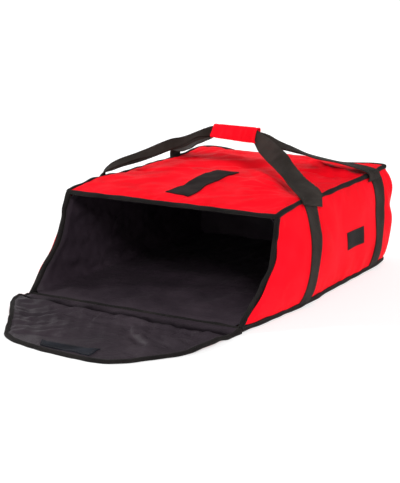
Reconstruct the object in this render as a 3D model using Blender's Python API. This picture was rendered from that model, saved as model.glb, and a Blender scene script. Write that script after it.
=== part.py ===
"""Insulated delivery bag with a fold-down front flap and two webbing handle loops.

Metres, +Z up. The origin is the middle of the base on the floor. The mouth faces -Y and the
wearer's right side of the bag is +X. Every wall is a nylon shell, a foam layer and a lining.
"""
import math

import bmesh
import bpy
from mathutils import Vector

# Clearance between pieces that touch on the real bag
GAP = 0.0003

# Body: the base is deeper than the top, because the mouth slopes back
BAG_WIDTH = 0.420
BASE_DEPTH = 0.584
MOUTH_SETBACK = 0.123
FRONT_HEIGHT = 0.169
BACK_HEIGHT = 0.191
SIDE_BULGE = 0.014
CORNER_BULGE = 0.010
TOP_BULGE = 0.006
BACK_BULGE = 0.009

# Wall layers
SHELL_THICKNESS = 0.0012
FOAM_THICKNESS = 0.008
LINING_THICKNESS = 0.001

# Edge bindings, square with one rounded outer edge
BINDING = 0.010
BINDING_ROUND = 0.004
MOUTH_BINDING = 0.010

# Webbing on the sides and the handle ends sewn over it
SIDE_WEBBING_WIDTH = 0.038
WEBBING_THICKNESS = 0.002
FRONT_STRAP_SETBACK = 0.1175
REAR_STRAP_INSET = 0.0655
HANDLE_END_WIDTH = 0.066
HANDLE_END_DROP = 0.026
HANDLE_END_REACH = 0.016

# Handle grip: its middle lies off the bag's and off the straps' middle, and above the back's top
GRIP_X = -0.012
GRIP_SHIFT = -0.0075
GRIP_RISE = 0.067
GRIP_LENGTH = 0.094
GRIP_HEIGHT = 0.030
GRIP_DEPTH = 0.014
GRIP_WALL = 0.0016
CORE_HEIGHT = 0.024
CORE_THICKNESS = 0.0033
CORE_OVERHANG = 0.006
LEG_RUN = 0.055
LEG_SPREAD = 0.012
FRONT_LEG_RISE = 0.014
FRONT_LEG_DROP = 0.015
REAR_LEG_RISE = 0.008
REAR_LEG_DROP = 0.030

# Front flap, lying open on the floor, and the tip that folds over the top
FLAP_SHELL = 0.001
FLAP_FOAM = 0.003
FLAP_LINING = 0.001
FLAP_HEM_INSET = 0.005
FLAP_SHOULDER_INSET = 0.011
FLAP_SHOULDER_DISTANCE = 0.054
FLAP_KNEE_INSET = 0.045
FLAP_KNEE_DISTANCE = 0.155
FLAP_FOLD_INSET = 0.079
FLAP_TIP_DEPTH = 0.051
FLAP_TIP_INSET = 0.115
FLAP_LENGTH = 0.255
FLAP_BINDING = 0.008
FLAP_CORNER_RADIUS = 0.032

# The limp flap has slid towards +X as it fell: none at the drift's start, all at its end
FLAP_DRIFT = 0.038
FLAP_DRIFT_START = 0.040
FLAP_DRIFT_END = 0.210

# Hook tape on the tip, loop tape on the top, and the plain patch on the right side
HOOK_TAPE_LENGTH = 0.104
HOOK_TAPE_WIDTH = 0.036
HOOK_TAPE_MARGIN = 0.006
TAPE_THICKNESS = 0.002
LOOP_TAPE_WIDTH = 0.046
LOOP_TAPE_START = 0.039
LOOP_TAPE_LENGTH = 0.170
PATCH_INSET = 0.181
PATCH_LENGTH = 0.072
PATCH_THICKNESS = 0.0015

# How far behind the mouth the side panel's upright grid lines begin
TOE_DEPTH = 0.049

# Where grid lines fall, as shares of a panel's height, width or depth
SIDE_ROW_SHARES = (0.0, 0.11, 0.22, 0.335, 0.43, 0.516, 0.68, 0.84, 1.0)
PATCH_ROW_SHARES = (0.335, 0.43, 0.516)
TOE_COLUMN_SHARES = (0.0, 0.34, 0.68)
TOP_COLUMN_SHARES = (0.35, 0.68, 1.0)
BACK_COLUMN_SHARES = (0.0, 0.17, 0.34, 0.5, 0.66, 0.83, 1.0)

# How much of the shell's swell the lining follows; the foam between them fills the rest
LINING_SWELL_SHARE = 0.2

# The mouth's slope, as shares of the front height and of the setback
MOUTH_START_SHARE = 0.03
MOUTH_RUN_SHARE = 0.48
MOUTH_SOFT_SHARE = 0.12

# Worked out from the sizes above
HALF_WIDTH = BAG_WIDTH / 2
FRONT_Y = -BASE_DEPTH / 2
BACK_Y = BASE_DEPTH / 2
TOP_FRONT_Y = FRONT_Y + MOUTH_SETBACK
TOP_DEPTH = BACK_Y - TOP_FRONT_Y
FRONT_STRAP_Y = TOP_FRONT_Y + FRONT_STRAP_SETBACK
REAR_STRAP_Y = BACK_Y - REAR_STRAP_INSET
PATCH_Y = BACK_Y - PATCH_INSET
GRIP_Y = (FRONT_STRAP_Y + REAR_STRAP_Y) / 2 + GRIP_SHIFT
GRIP_Z = BACK_HEIGHT + GRIP_RISE
FOAM_OFFSET = SHELL_THICKNESS + GAP
LINING_OFFSET = FOAM_OFFSET + FOAM_THICKNESS + GAP
WALL = LINING_OFFSET + LINING_THICKNESS
PANEL_START = BINDING + GAP
FLAP_THICKNESS = FLAP_SHELL + GAP + FLAP_FOAM + GAP + FLAP_LINING
HINGE_Y = FRONT_Y - GAP
HINGE_Z = BINDING
FOLD_Y = HINGE_Y - FLAP_LENGTH + FLAP_TIP_DEPTH
# Each layer's name, place and thickness, and how much of the wall's swell its two faces take
LAYERS = (
    ("shell", 0.0, SHELL_THICKNESS, 1.0, 1.0),
    ("insulation", FOAM_OFFSET, FOAM_THICKNESS, 1.0, LINING_SWELL_SHARE),
    ("lining", LINING_OFFSET, LINING_THICKNESS, LINING_SWELL_SHARE, LINING_SWELL_SHARE),
)


def clear_scene():
    """Remove whatever the open file holds."""
    for item in list(bpy.data.objects):
        bpy.data.objects.remove(item, do_unlink=True)


def make_material(name, colour, roughness):
    """One Principled material of an even colour."""
    material = bpy.data.materials.new(name)
    material.use_nodes = True
    shader = material.node_tree.nodes["Principled BSDF"]
    shader.inputs["Base Color"].default_value = (*colour, 1.0)
    shader.inputs["Roughness"].default_value = roughness
    shader.inputs["Metallic"].default_value = 0.0
    material.diffuse_color = (*colour, 1.0)
    return material


def make_object(name, verts, faces, material, parent=None):
    """A mesh object from world points; its origin is its parent's."""
    origin = Vector(parent.location) if parent else Vector((0.0, 0.0, 0.0))
    if parent and parent.parent:
        origin = origin + Vector(parent.parent.location)
    mesh = bpy.data.meshes.new(name)
    grid = bmesh.new()
    points = [grid.verts.new(Vector(point) - origin) for point in verts]
    for face in faces:
        grid.faces.new([points[index] for index in face])
    bmesh.ops.recalc_face_normals(grid, faces=grid.faces)
    bmesh.ops.triangulate(grid, faces=grid.faces, ngon_method="EAR_CLIP")
    grid.to_mesh(mesh)
    grid.free()
    mesh.materials.append(material)
    item = bpy.data.objects.new(name, mesh)
    bpy.context.scene.collection.objects.link(item)
    item.parent = parent
    return item


def make_joint_empty(name, location, parent=None):
    """An empty on a joint's axis, which carries the pieces that move there."""
    empty = bpy.data.objects.new(name, None)
    bpy.context.scene.collection.objects.link(empty)
    empty.parent = parent
    empty.location = Vector(location) - (Vector(parent.location) if parent else Vector())
    return empty


def grid_slab(name, outer, inner, material, parent=None):
    """A closed sheet between two grids of points, cut into the same triangles on both."""
    rows = len(outer)
    columns = len(outer[0])
    verts = [point for grid in (outer, inner) for row in grid for point in row]
    faces = []

    def index(layer, row, column):
        return (layer * rows + row) * columns + column

    for layer in (0, 1):
        for row in range(rows - 1):
            for column in range(columns - 1):
                a = index(layer, row, column)
                b = index(layer, row, column + 1)
                c = index(layer, row + 1, column + 1)
                d = index(layer, row + 1, column)
                faces.append((a, b, c))
                faces.append((a, c, d))
    border = [(0, column) for column in range(columns)]
    border += [(row, columns - 1) for row in range(1, rows)]
    border += [(rows - 1, column) for column in range(columns - 2, -1, -1)]
    border += [(row, 0) for row in range(rows - 2, 0, -1)]
    for here, there in zip(border, border[1:] + border[:1]):
        faces.append((index(0, *here), index(0, *there), index(1, *there), index(1, *here)))
    return make_object(name, verts, faces, material, parent)


def sweep(name, rings, material, parent=None):
    """A closed body through rings of the same number of points, with flat ends."""
    count = len(rings[0])
    verts = [point for ring in rings for point in ring]
    faces = [tuple(range(count)), tuple(range(len(verts) - count, len(verts)))]
    for ring in range(len(rings) - 1):
        for side in range(count):
            a = ring * count + side
            b = ring * count + (side + 1) % count
            faces.append((a, b, b + count, a + count))
    return make_object(name, verts, faces, material, parent)


def spread(start, end, steps):
    """Evenly spaced values from start to end, both included."""
    return [start + (end - start) * step / steps for step in range(steps + 1)]


def rim_height(y):
    """Height of the top's edge: it climbs from the mouth to the back and levels out."""
    share = min(max((y - TOP_FRONT_Y) / TOP_DEPTH, 0.0), 1.0)
    return FRONT_HEIGHT + (BACK_HEIGHT - FRONT_HEIGHT) * share * (2 - share)


def mouth_y(z):
    """Front edge of a side at a height: a slope from the base that rounds into an upright."""
    level = (z / FRONT_HEIGHT - MOUTH_START_SHARE) / MOUTH_RUN_SHARE
    rounded = MOUTH_SOFT_SHARE * math.log(1 + math.exp((1 - level) / MOUTH_SOFT_SHARE))
    return FRONT_Y + MOUTH_SETBACK * (1 - rounded)


def hump(share):
    """A parabola that is 0 at both ends and 1 in the middle."""
    return 4 * share * (1 - share)


def broad_hump(share):
    """Like hump, but flatter in the middle and steeper at the ends."""
    return 1 - (2 * share - 1) ** 4


def side_top(y):
    """Upper edge of a side panel, just under the rim binding."""
    return rim_height(y) - BINDING - GAP


def side_bulge(row, y, front):
    """How far a side swells out at a share of its height and a place along it."""
    depth = (y - front) / (BACK_Y - front)
    return (SIDE_BULGE * broad_hump(depth) + CORNER_BULGE * depth ** 6) * hump(row)


def side_grid(y_lines, row_shares, offset, rear_trim=0.0, swell=1.0):
    """Points of one face of a side layer: x, y and z for each row and upright line."""
    grid = []
    start = TOP_FRONT_Y + TOE_DEPTH
    for row in row_shares:
        nominal = PANEL_START + row * (side_top(TOP_FRONT_Y) - PANEL_START)
        front = mouth_y(nominal) + MOUTH_BINDING + GAP
        line = []
        for column in y_lines:
            y = front + column * (start - front) if isinstance(column, float) else column[0]
            z = PANEL_START + row * (side_top(y) - PANEL_START)
            bulge = swell * side_bulge(row, y, front)
            line.append((HALF_WIDTH + bulge - offset, min(y, BACK_Y - rear_trim), z))
        grid.append(line)
    return grid


def side_lines():
    """Upright grid lines of a side: shares in the toe, then real places as 1-tuples."""
    half_strap = SIDE_WEBBING_WIDTH / 2
    half_patch = PATCH_LENGTH / 2
    front_end = FRONT_STRAP_Y + half_strap
    patch_start = PATCH_Y - half_patch
    places = (
        TOP_FRONT_Y + TOE_DEPTH,
        FRONT_STRAP_Y - half_strap,
        front_end,
        (front_end + patch_start) / 2,
        patch_start,
        PATCH_Y + half_patch,
        REAR_STRAP_Y - half_strap,
        REAR_STRAP_Y + half_strap,
        BACK_Y,
    )
    return list(TOE_COLUMN_SHARES) + [(place,) for place in places]


def mirrored(grid, sign):
    """The same grid on the side that the sign names."""
    return [[(sign * x, y, z) for x, y, z in line] for line in grid]


def build_sides(materials):
    """Right and left walls, which swell outward between their bindings."""
    rear_trims = {"shell": 0.0, "insulation": FOAM_OFFSET, "lining": LINING_OFFSET}
    for side, sign in (("right", 1), ("left", -1)):
        for layer, offset, thickness, outer_swell, inner_swell in LAYERS:
            trim = rear_trims[layer]
            outer = side_grid(side_lines(), SIDE_ROW_SHARES, offset, trim, outer_swell)
            depth = offset + thickness
            inner = side_grid(side_lines(), SIDE_ROW_SHARES, depth, trim, inner_swell)
            grids = mirrored(outer, sign), mirrored(inner, sign)
            grid_slab(f"{layer}_{side}", *grids, materials[layer])


def top_surface(x, y, half, swell):
    """Height of the top: domed outside, while the lining runs straighter from front to back."""
    across = (x + half) / (2 * half)
    along = (y - TOP_FRONT_Y) / TOP_DEPTH
    chord = FRONT_HEIGHT + (BACK_HEIGHT - FRONT_HEIGHT) * along
    straightened = (1 - swell) * (rim_height(y) - chord) * broad_hump(across)
    return rim_height(y) - straightened + swell * TOP_BULGE * hump(across) * hump(along)


def top_lines(half, rear):
    """Grid lines of the top across and along it; two of each bound the loop tape."""
    tape_half = LOOP_TAPE_WIDTH / 2
    reach = half - tape_half
    right = [tape_half + share * reach for share in TOP_COLUMN_SHARES]
    across = [-x for x in reversed(right)] + [-tape_half, tape_half] + right
    start = TOP_FRONT_Y + LOOP_TAPE_START
    end = start + LOOP_TAPE_LENGTH
    along = [TOP_FRONT_Y + PANEL_START] + spread(start, end, 3) + spread(end, rear, 3)[1:]
    return across, along


def top_grid(across, along, offset, swell=1.0):
    """Points of one face of a layer of the top."""
    half = HALF_WIDTH - PANEL_START
    return [[(x, y, top_surface(x, y, half, swell) - offset) for x in across] for y in along]


def build_top(materials):
    """The top, domed a little, with its loop tape along the middle."""
    for layer, offset, thickness, outer_swell, inner_swell in LAYERS:
        edge = WALL + GAP if layer == "lining" else PANEL_START
        across, along = top_lines(HALF_WIDTH - edge, BACK_Y - edge)
        outer = top_grid(across, along, offset, outer_swell)
        inner = top_grid(across, along, offset + thickness, inner_swell)
        grid_slab(f"{layer}_top", outer, inner, materials[layer])
    across, along = top_lines(HALF_WIDTH - PANEL_START, BACK_Y - PANEL_START)
    tape_half = LOOP_TAPE_WIDTH / 2
    across = [x for x in across if abs(x) <= tape_half]
    along = along[1:5]
    outer = top_grid(across, along, -GAP - TAPE_THICKNESS)
    inner = top_grid(across, along, -GAP)
    grid_slab("loop_tape_top", outer, inner, materials["hook"])


def back_grid(half, offset, swell, side_swell):
    """Points of one face of a layer of the back wall, which meets the swollen sides."""
    grid = []
    for row in SIDE_ROW_SHARES:
        z = PANEL_START + row * (side_top(BACK_Y) - PANEL_START)
        reach = half + side_swell * CORNER_BULGE * hump(row)
        line = []
        for column in BACK_COLUMN_SHARES:
            bulge = swell * BACK_BULGE * hump(row) * broad_hump(column)
            line.append((reach * (2 * column - 1), BACK_Y + bulge - offset, z))
        grid.append(line)
    return grid


def build_back(materials):
    """The back wall, whose layers stand between those of the sides."""
    insets = {"shell": FOAM_OFFSET, "insulation": LINING_OFFSET, "lining": WALL + GAP}
    for layer, offset, thickness, outer_swell, inner_swell in LAYERS:
        half = HALF_WIDTH - insets[layer]
        outer = back_grid(half, offset, outer_swell, inner_swell)
        inner = back_grid(half, offset + thickness, inner_swell, inner_swell)
        grid_slab(f"{layer}_back", outer, inner, materials[layer])


def box_grid(half, front, rear, z):
    """Four corners of a flat level rectangle, as a grid."""
    return [[(x, y, z) for x in (-half, half)] for y in (front, rear)]


def build_base(materials):
    """The flat base."""
    for layer, offset, thickness, *_ in LAYERS:
        edge = WALL + GAP if layer == "lining" else PANEL_START
        limits = (HALF_WIDTH - edge, FRONT_Y + PANEL_START, BACK_Y - edge)
        upper = box_grid(*limits, offset + thickness)
        lower = box_grid(*limits, offset)
        grid_slab(f"{layer}_base", upper, lower, materials[layer])


def rounded_square(size, radius):
    """Section of a binding, its rounded edge at +u +v and its corner there at 0, 0."""
    points = [(-size, -size), (0.0, -size)]
    for angle in spread(0.0, math.pi / 2, 3):
        across = radius * math.cos(angle) - radius
        points.append((across, radius * math.sin(angle) - radius))
    points.append((-size, 0.0))
    return points


def build_rim_bindings(material):
    """Four bindings round the top's edge."""
    section = rounded_square(BINDING, BINDING_ROUND)
    for side, sign in (("right", 1), ("left", -1)):
        rings = []
        for y in spread(TOP_FRONT_Y, BACK_Y, 8):
            height = rim_height(y)
            rings.append([(sign * (HALF_WIDTH + u), y, height + v) for u, v in section])
        sweep(f"rim_binding_{side}", rings, material)
    half = HALF_WIDTH - PANEL_START
    for side, sign, y in (("front", -1, TOP_FRONT_Y), ("back", 1, BACK_Y)):
        height = rim_height(y)
        rings = [[(x, y + sign * u, height + v) for u, v in section] for x in (-half, half)]
        sweep(f"rim_binding_{side}", rings, material)


def build_base_bindings(material):
    """Four bindings round the base; the front one is the hem that the flap hangs on."""
    section = [(u, BINDING + v) for u, v in rounded_square(BINDING, BINDING_ROUND)]
    for side, sign in (("right", 1), ("left", -1)):
        ends = (FRONT_Y, BACK_Y)
        rings = [[(sign * (HALF_WIDTH + u), y, v) for u, v in section] for y in ends]
        sweep(f"base_binding_{side}", rings, material)
    half = HALF_WIDTH - PANEL_START
    for side, sign, y in (("front", -1, FRONT_Y), ("back", 1, BACK_Y)):
        rings = [[(x, y + sign * u, v) for u, v in section] for x in (-half, half)]
        sweep(f"base_binding_{side}", rings, material)


def build_mouth_bindings(material):
    """The binding up each side's front edge, from the base to the rim."""
    inner = HALF_WIDTH - WALL
    for side, sign in (("right", 1), ("left", -1)):
        rings = []
        for row in SIDE_ROW_SHARES:
            z = PANEL_START + row * (side_top(TOP_FRONT_Y) - PANEL_START)
            front = mouth_y(z)
            rear = front + MOUTH_BINDING
            soft = HALF_WIDTH - BINDING_ROUND
            near = front + BINDING_ROUND
            corners = ((inner, rear), (HALF_WIDTH, rear), (HALF_WIDTH, near), (soft, front))
            corners += ((inner, front),)
            rings.append([(sign * x, y, z) for x, y in corners])
        sweep(f"mouth_binding_{side}", rings, material)


def build_side_straps(material):
    """Webbing down each side, two a side, from the rim to the base binding."""
    half = SIDE_WEBBING_WIDTH / 2
    for place, centre in (("front", FRONT_STRAP_Y), ("rear", REAR_STRAP_Y)):
        lines = [(centre - half,), (centre + half,)]
        inner = side_grid(lines, SIDE_ROW_SHARES, -GAP)
        outer = side_grid(lines, SIDE_ROW_SHARES, -GAP - WEBBING_THICKNESS)
        for side, sign in (("right", 1), ("left", -1)):
            grids = mirrored(outer, sign), mirrored(inner, sign)
            grid_slab(f"side_strap_{place}_{side}", *grids, material)


def build_patch(material):
    """The plain rectangular patch on the right side."""
    half = PATCH_LENGTH / 2
    lines = [(PATCH_Y - half,), (PATCH_Y + half,)]
    outer = side_grid(lines, PATCH_ROW_SHARES, -GAP - PATCH_THICKNESS)
    inner = side_grid(lines, PATCH_ROW_SHARES, -GAP)
    grid_slab("label_patch", outer, inner, material)


def handle_end_height(y):
    """Underside of a handle end where it lies over the rim."""
    return rim_height(y) + GAP + TOP_BULGE * hump(HANDLE_END_REACH / BAG_WIDTH)


def build_handle_ends(material):
    """Handle webbing folded over the rim and sewn on the side straps, as four hooks."""
    half = HANDLE_END_WIDTH / 2
    near = HALF_WIDTH + GAP + WEBBING_THICKNESS + GAP
    far = near + WEBBING_THICKNESS
    tip = HALF_WIDTH - HANDLE_END_REACH
    for place, centre in (("front", FRONT_STRAP_Y), ("rear", REAR_STRAP_Y)):
        for side, sign in (("right", 1), ("left", -1)):
            rings = []
            for y in spread(centre - half, centre + half, 2):
                low = handle_end_height(y)
                high = low + WEBBING_THICKNESS
                hem = rim_height(y) - HANDLE_END_DROP
                row = (hem - PANEL_START) / (side_top(y) - PANEL_START)
                swell = side_bulge(row, y, TOP_FRONT_Y + PANEL_START)
                bend = far - WEBBING_THICKNESS
                points = ((tip, low), (near, low), (near + swell, hem), (far + swell, hem))
                points += ((far, low), (bend, high), (tip, high))
                rings.append([(sign * x, y, z) for x, z in points])
            sweep(f"handle_end_{place}_{side}", rings, material)


def bezier(points, share):
    """Point on a cubic curve."""
    a, b, c, d = points
    rest = 1 - share
    near = a * rest ** 3 + b * (3 * rest ** 2 * share)
    return near + c * (3 * rest * share ** 2) + d * share ** 3


def ribbon(name, near_edge, far_edge, material, parent=None):
    """Webbing between two curved edges, of even thickness, cut square to X at both ends."""
    rings = []
    for share in spread(0.0, 1.0, 10):
        near = bezier(near_edge, share)
        far = bezier(far_edge, share)
        middle = (near + far) / 2
        step = bezier(near_edge, share + 0.01) + bezier(far_edge, share + 0.01)
        back = bezier(near_edge, share - 0.01) + bezier(far_edge, share - 0.01)
        normal = (far - near).cross(step - back)
        if share in (0.0, 1.0):
            normal.x = 0.0
        normal = normal.normalized() * (WEBBING_THICKNESS / 2)
        rings.append([near - normal, far - normal, far + normal, near + normal])
    return sweep(name, rings, material, parent)


def build_handle_legs(material):
    """The four free stretches of webbing between the handle ends and the grip."""
    half = HANDLE_END_WIDTH / 2
    core = CORE_HEIGHT / 2
    start_x = HALF_WIDTH - HANDLE_END_REACH - GAP
    reach = GRIP_LENGTH / 2 + CORE_OVERHANG + GAP
    loops = (
        ("front", FRONT_STRAP_Y, -1, FRONT_LEG_RISE, FRONT_LEG_DROP),
        ("rear", REAR_STRAP_Y, 1, REAR_LEG_RISE, REAR_LEG_DROP),
    )
    for place, centre, turn, rise, drop in loops:
        core_y = GRIP_Y + turn * (GAP + CORE_THICKNESS / 2)
        for side, sign in (("right", 1), ("left", -1)):
            edges = []
            for outward in (1, -1):
                y = centre + turn * outward * half
                start = Vector((sign * start_x, y, handle_end_height(y) + WEBBING_THICKNESS / 2))
                end = Vector((GRIP_X + sign * reach, core_y, GRIP_Z - outward * core))
                run = Vector((end.x - start.x, end.y - start.y, 0.0)).normalized() * LEG_RUN
                leave = start + run + Vector((0.0, 0.0, rise))
                arrive = end - run - Vector((0.0, 0.0, drop + outward * LEG_SPREAD))
                edges.append((start, leave, arrive, end))
            ribbon(f"handle_leg_{place}_{side}", *edges, material)


def grip_half(turn):
    """Section of half the grip's sleeve, on the side that turn names, round the core."""
    points = []
    for half_depth, half_height, order in (
        (GRIP_DEPTH / 2, GRIP_HEIGHT / 2, 1),
        (GRIP_DEPTH / 2 - GRIP_WALL, GRIP_HEIGHT / 2 - GRIP_WALL, -1),
    ):
        for angle in spread(order * math.pi / 2, -order * math.pi / 2, 10):
            depth = half_depth * math.sqrt(abs(math.cos(angle)))
            height = half_height * math.copysign(math.sqrt(abs(math.sin(angle))), angle)
            points.append((turn * max(depth, GAP / 2), height))
    return points


def build_grip(materials):
    """The sleeve in two halves round both loops; the front half opens about its top edge."""
    slide = make_joint_empty("grip_slide", (GRIP_X, GRIP_Y, GRIP_Z))
    hinge = make_joint_empty("wrap_hinge", (GRIP_X, GRIP_Y, GRIP_Z + GRIP_HEIGHT / 2), slide)
    half_length = GRIP_LENGTH / 2
    for place, turn, parent in (("rear", 1, slide), ("front", -1, hinge)):
        rings = []
        for x in (GRIP_X - half_length, GRIP_X + half_length):
            rings.append([(x, GRIP_Y + y, GRIP_Z + z) for y, z in grip_half(turn)])
        sweep(f"grip_wrap_{place}", rings, materials["shell"], parent)
    reach = half_length + CORE_OVERHANG
    for place, turn in (("rear", 1), ("front", -1)):
        rings = []
        for x in (GRIP_X - reach, GRIP_X + reach):
            ring = []
            for y, z in ((0, -1), (1, -1), (1, 1), (0, 1)):
                depth = turn * (GAP + y * CORE_THICKNESS)
                ring.append((x, GRIP_Y + depth, GRIP_Z + z * CORE_HEIGHT / 2))
            rings.append(ring)
        sweep(f"handle_core_{place}", rings, materials["webbing"], slide)


def rounded_corner(before, corner, after, radius):
    """Points of an arc of the radius that replaces a corner of an outline."""
    corner = Vector(corner)
    arm_in = (Vector(before) - corner).normalized()
    arm_out = (Vector(after) - corner).normalized()
    half_angle = arm_in.angle(arm_out) / 2
    centre = corner + (arm_in + arm_out).normalized() * (radius / math.sin(half_angle))
    first = corner + arm_in * (radius / math.tan(half_angle)) - centre
    last = corner + arm_out * (radius / math.tan(half_angle)) - centre
    points = []
    for share in spread(0.0, 1.0, 4):
        blend = (first * (1 - share) + last * share).normalized() * radius
        points.append(tuple(centre + blend))
    return points


def inset_chain(points, distance):
    """An open chain moved to its left by a distance; its end points slide along X or Y."""
    moved = []
    for number, point in enumerate(points):
        here = Vector(point)
        back = Vector(points[max(number - 1, 0)])
        ahead = Vector(points[min(number + 1, len(points) - 1)])
        sides = []
        for step in (here - back, ahead - here):
            if step.length > 0:
                sides.append(Vector((-step.y, step.x)).normalized())
        if len(sides) == 1:
            across = abs(sides[0].x) > abs(sides[0].y)
            slide = Vector((1.0, 0.0)) if across else Vector((0.0, 1.0))
            moved.append(tuple(here + slide * (distance / slide.dot(sides[0]))))
            continue
        middle = (sides[0] + sides[1]).normalized()
        moved.append(tuple(here + middle * (distance / middle.dot(sides[0]))))
    return moved


def flap_chains():
    """Right edge of the flap and of its tip as open chains, x and y in plan, before the drift."""
    end = HINGE_Y - FLAP_LENGTH
    fold_half = HALF_WIDTH - FLAP_FOLD_INSET
    right_hem = (HALF_WIDTH - FLAP_HEM_INSET, HINGE_Y)
    shoulder = (HALF_WIDTH - FLAP_SHOULDER_INSET, HINGE_Y - FLAP_SHOULDER_DISTANCE)
    knee = (HALF_WIDTH - FLAP_KNEE_INSET, HINGE_Y - FLAP_KNEE_DISTANCE)
    right_fold = (fold_half, FOLD_Y)
    first = rounded_corner(right_hem, shoulder, knee, FLAP_CORNER_RADIUS)
    second = rounded_corner(shoulder, knee, right_fold, FLAP_CORNER_RADIUS)
    side = [right_hem] + first + second + [right_fold]
    start = (fold_half, FOLD_Y - GAP)
    tip = (HALF_WIDTH - FLAP_TIP_INSET, end)
    arc = rounded_corner(start, tip, (0.0, end), FLAP_CORNER_RADIUS)
    return side, [start] + arc


def reflect(chain):
    """The chain on the other side of the middle, in the opposite order."""
    return [(-x, y) for x, y in reversed(chain)]


def drift(y):
    """How far the flap has slid sideways at a place along it."""
    span = FLAP_DRIFT_END - FLAP_DRIFT_START
    share = min(max((HINGE_Y - y - FLAP_DRIFT_START) / span, 0.0), 1.0)
    return FLAP_DRIFT * share * share * (3 - 2 * share)


def plate(name, outline, low, high, material, parent):
    """A flat plate of an outline between two heights, slid sideways as the flap is."""
    rings = [[(x + drift(y), y, z) for x, y in outline] for z in (low, high)]
    return sweep(name, rings, material, parent)


def build_flap(materials):
    """The flap on its hem hinge, and its tip on the fold hinge."""
    hinge = make_joint_empty("flap_hinge", (0.0, HINGE_Y, HINGE_Z))
    fold = make_joint_empty("fold_hinge", (0.0, FOLD_Y, FLAP_THICKNESS), hinge)
    side, tip = flap_chains()
    foam_low = FLAP_SHELL + GAP
    lining_low = foam_low + FLAP_FOAM + GAP
    levels = {
        "shell": (0.0, FLAP_SHELL),
        "insulation": (foam_low, foam_low + FLAP_FOAM),
        "lining": (lining_low, FLAP_THICKNESS),
    }
    inset = -FLAP_BINDING - GAP
    inner_side = inset_chain(side, inset)
    inner_tip = inset_chain(tip, inset)
    for layer, (low, high) in levels.items():
        outline = inner_side + reflect(inner_side)
        plate(f"flap_{layer}", outline, low, high, materials[layer], hinge)
        outline = inner_tip + reflect(inner_tip)
        plate(f"tip_{layer}", outline, low, high, materials[layer], fold)
    build_flap_bindings(side, tip, materials["binding"], hinge, fold)
    half = HOOK_TAPE_LENGTH / 2
    near = FOLD_Y - HOOK_TAPE_MARGIN
    far = near - HOOK_TAPE_WIDTH
    outline = ((half, near), (half, far), (-half, far), (-half, near))
    low = FLAP_THICKNESS + GAP
    plate("tip_hook_tape", outline, low, low + TAPE_THICKNESS, materials["hook"], fold)


def build_flap_bindings(side, tip, material, hinge, fold):
    """Bindings down the flap's two sides and round its tip, in three pieces there."""
    inner_side = inset_chain(side, -FLAP_BINDING)
    outline = side + inner_side[::-1]
    plate("flap_binding_right", outline, 0.0, FLAP_THICKNESS, material, hinge)
    mirror = [(-x, y) for x, y in outline]
    plate("flap_binding_left", mirror, 0.0, FLAP_THICKNESS, material, hinge)
    inner_tip = inset_chain(tip, -FLAP_BINDING)
    outline = tip + inner_tip[::-1]
    plate("tip_binding_right", outline, 0.0, FLAP_THICKNESS, material, fold)
    mirror = [(-x, y) for x, y in outline]
    plate("tip_binding_left", mirror, 0.0, FLAP_THICKNESS, material, fold)
    last = tip[-1]
    half = last[0] - GAP
    inner = last[1] + FLAP_BINDING
    outline = ((half, last[1]), (-half, last[1]), (-half, inner), (half, inner))
    plate("tip_binding_end", outline, 0.0, FLAP_THICKNESS, material, fold)


def main():
    """Build the whole bag."""
    clear_scene()
    materials = {
        "shell": make_material("red nylon", (0.9, 0.012, 0.025), 0.6),
        "insulation": make_material("pale foam", (0.75, 0.75, 0.72), 0.9),
        "lining": make_material("dark lining", (0.03, 0.022, 0.035), 0.45),
        "binding": make_material("black binding", (0.02, 0.018, 0.018), 0.8),
        "webbing": make_material("charcoal webbing", (0.042, 0.035, 0.031), 0.85),
        "hook": make_material("charcoal tape", (0.035, 0.03, 0.03), 0.95),
    }
    build_base(materials)
    build_sides(materials)
    build_back(materials)
    build_top(materials)
    build_rim_bindings(materials["binding"])
    build_base_bindings(materials["binding"])
    build_mouth_bindings(materials["binding"])
    build_side_straps(materials["webbing"])
    build_handle_ends(materials["webbing"])
    build_handle_legs(materials["webbing"])
    build_patch(materials["hook"])
    build_grip(materials)
    build_flap(materials)


main()
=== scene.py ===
import math

import bmesh
import bpy
import numpy as np
from mathutils import Matrix, Vector
from mathutils.bvhtree import BVHTree


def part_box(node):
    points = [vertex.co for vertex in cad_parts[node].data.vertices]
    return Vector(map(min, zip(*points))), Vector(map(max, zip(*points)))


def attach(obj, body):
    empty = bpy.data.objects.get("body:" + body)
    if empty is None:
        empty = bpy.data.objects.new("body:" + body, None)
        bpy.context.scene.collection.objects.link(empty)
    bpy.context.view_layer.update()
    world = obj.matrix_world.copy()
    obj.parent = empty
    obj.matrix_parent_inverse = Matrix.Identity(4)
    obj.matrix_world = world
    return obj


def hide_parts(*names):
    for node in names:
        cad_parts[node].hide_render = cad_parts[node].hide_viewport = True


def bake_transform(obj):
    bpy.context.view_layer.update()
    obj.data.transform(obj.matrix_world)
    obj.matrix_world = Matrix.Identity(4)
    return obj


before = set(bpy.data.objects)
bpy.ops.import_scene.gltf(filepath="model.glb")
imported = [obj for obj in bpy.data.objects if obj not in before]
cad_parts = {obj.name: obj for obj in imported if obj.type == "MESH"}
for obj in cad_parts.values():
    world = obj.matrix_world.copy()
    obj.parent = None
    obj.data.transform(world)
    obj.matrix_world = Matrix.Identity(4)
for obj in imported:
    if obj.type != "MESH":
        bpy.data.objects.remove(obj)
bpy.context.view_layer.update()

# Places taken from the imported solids
HALF_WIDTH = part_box("rim_binding_right")[1][0]
TOP_FRONT_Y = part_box("rim_binding_front")[0][1]
BACK_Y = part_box("rim_binding_back")[1][1]
FRONT_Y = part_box("base_binding_front")[0][1]
FRONT_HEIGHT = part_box("rim_binding_front")[1][2]
BACK_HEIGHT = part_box("rim_binding_back")[1][2]
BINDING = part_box("base_binding_front")[1][2]
TOP_DEPTH = BACK_Y - TOP_FRONT_Y
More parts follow.
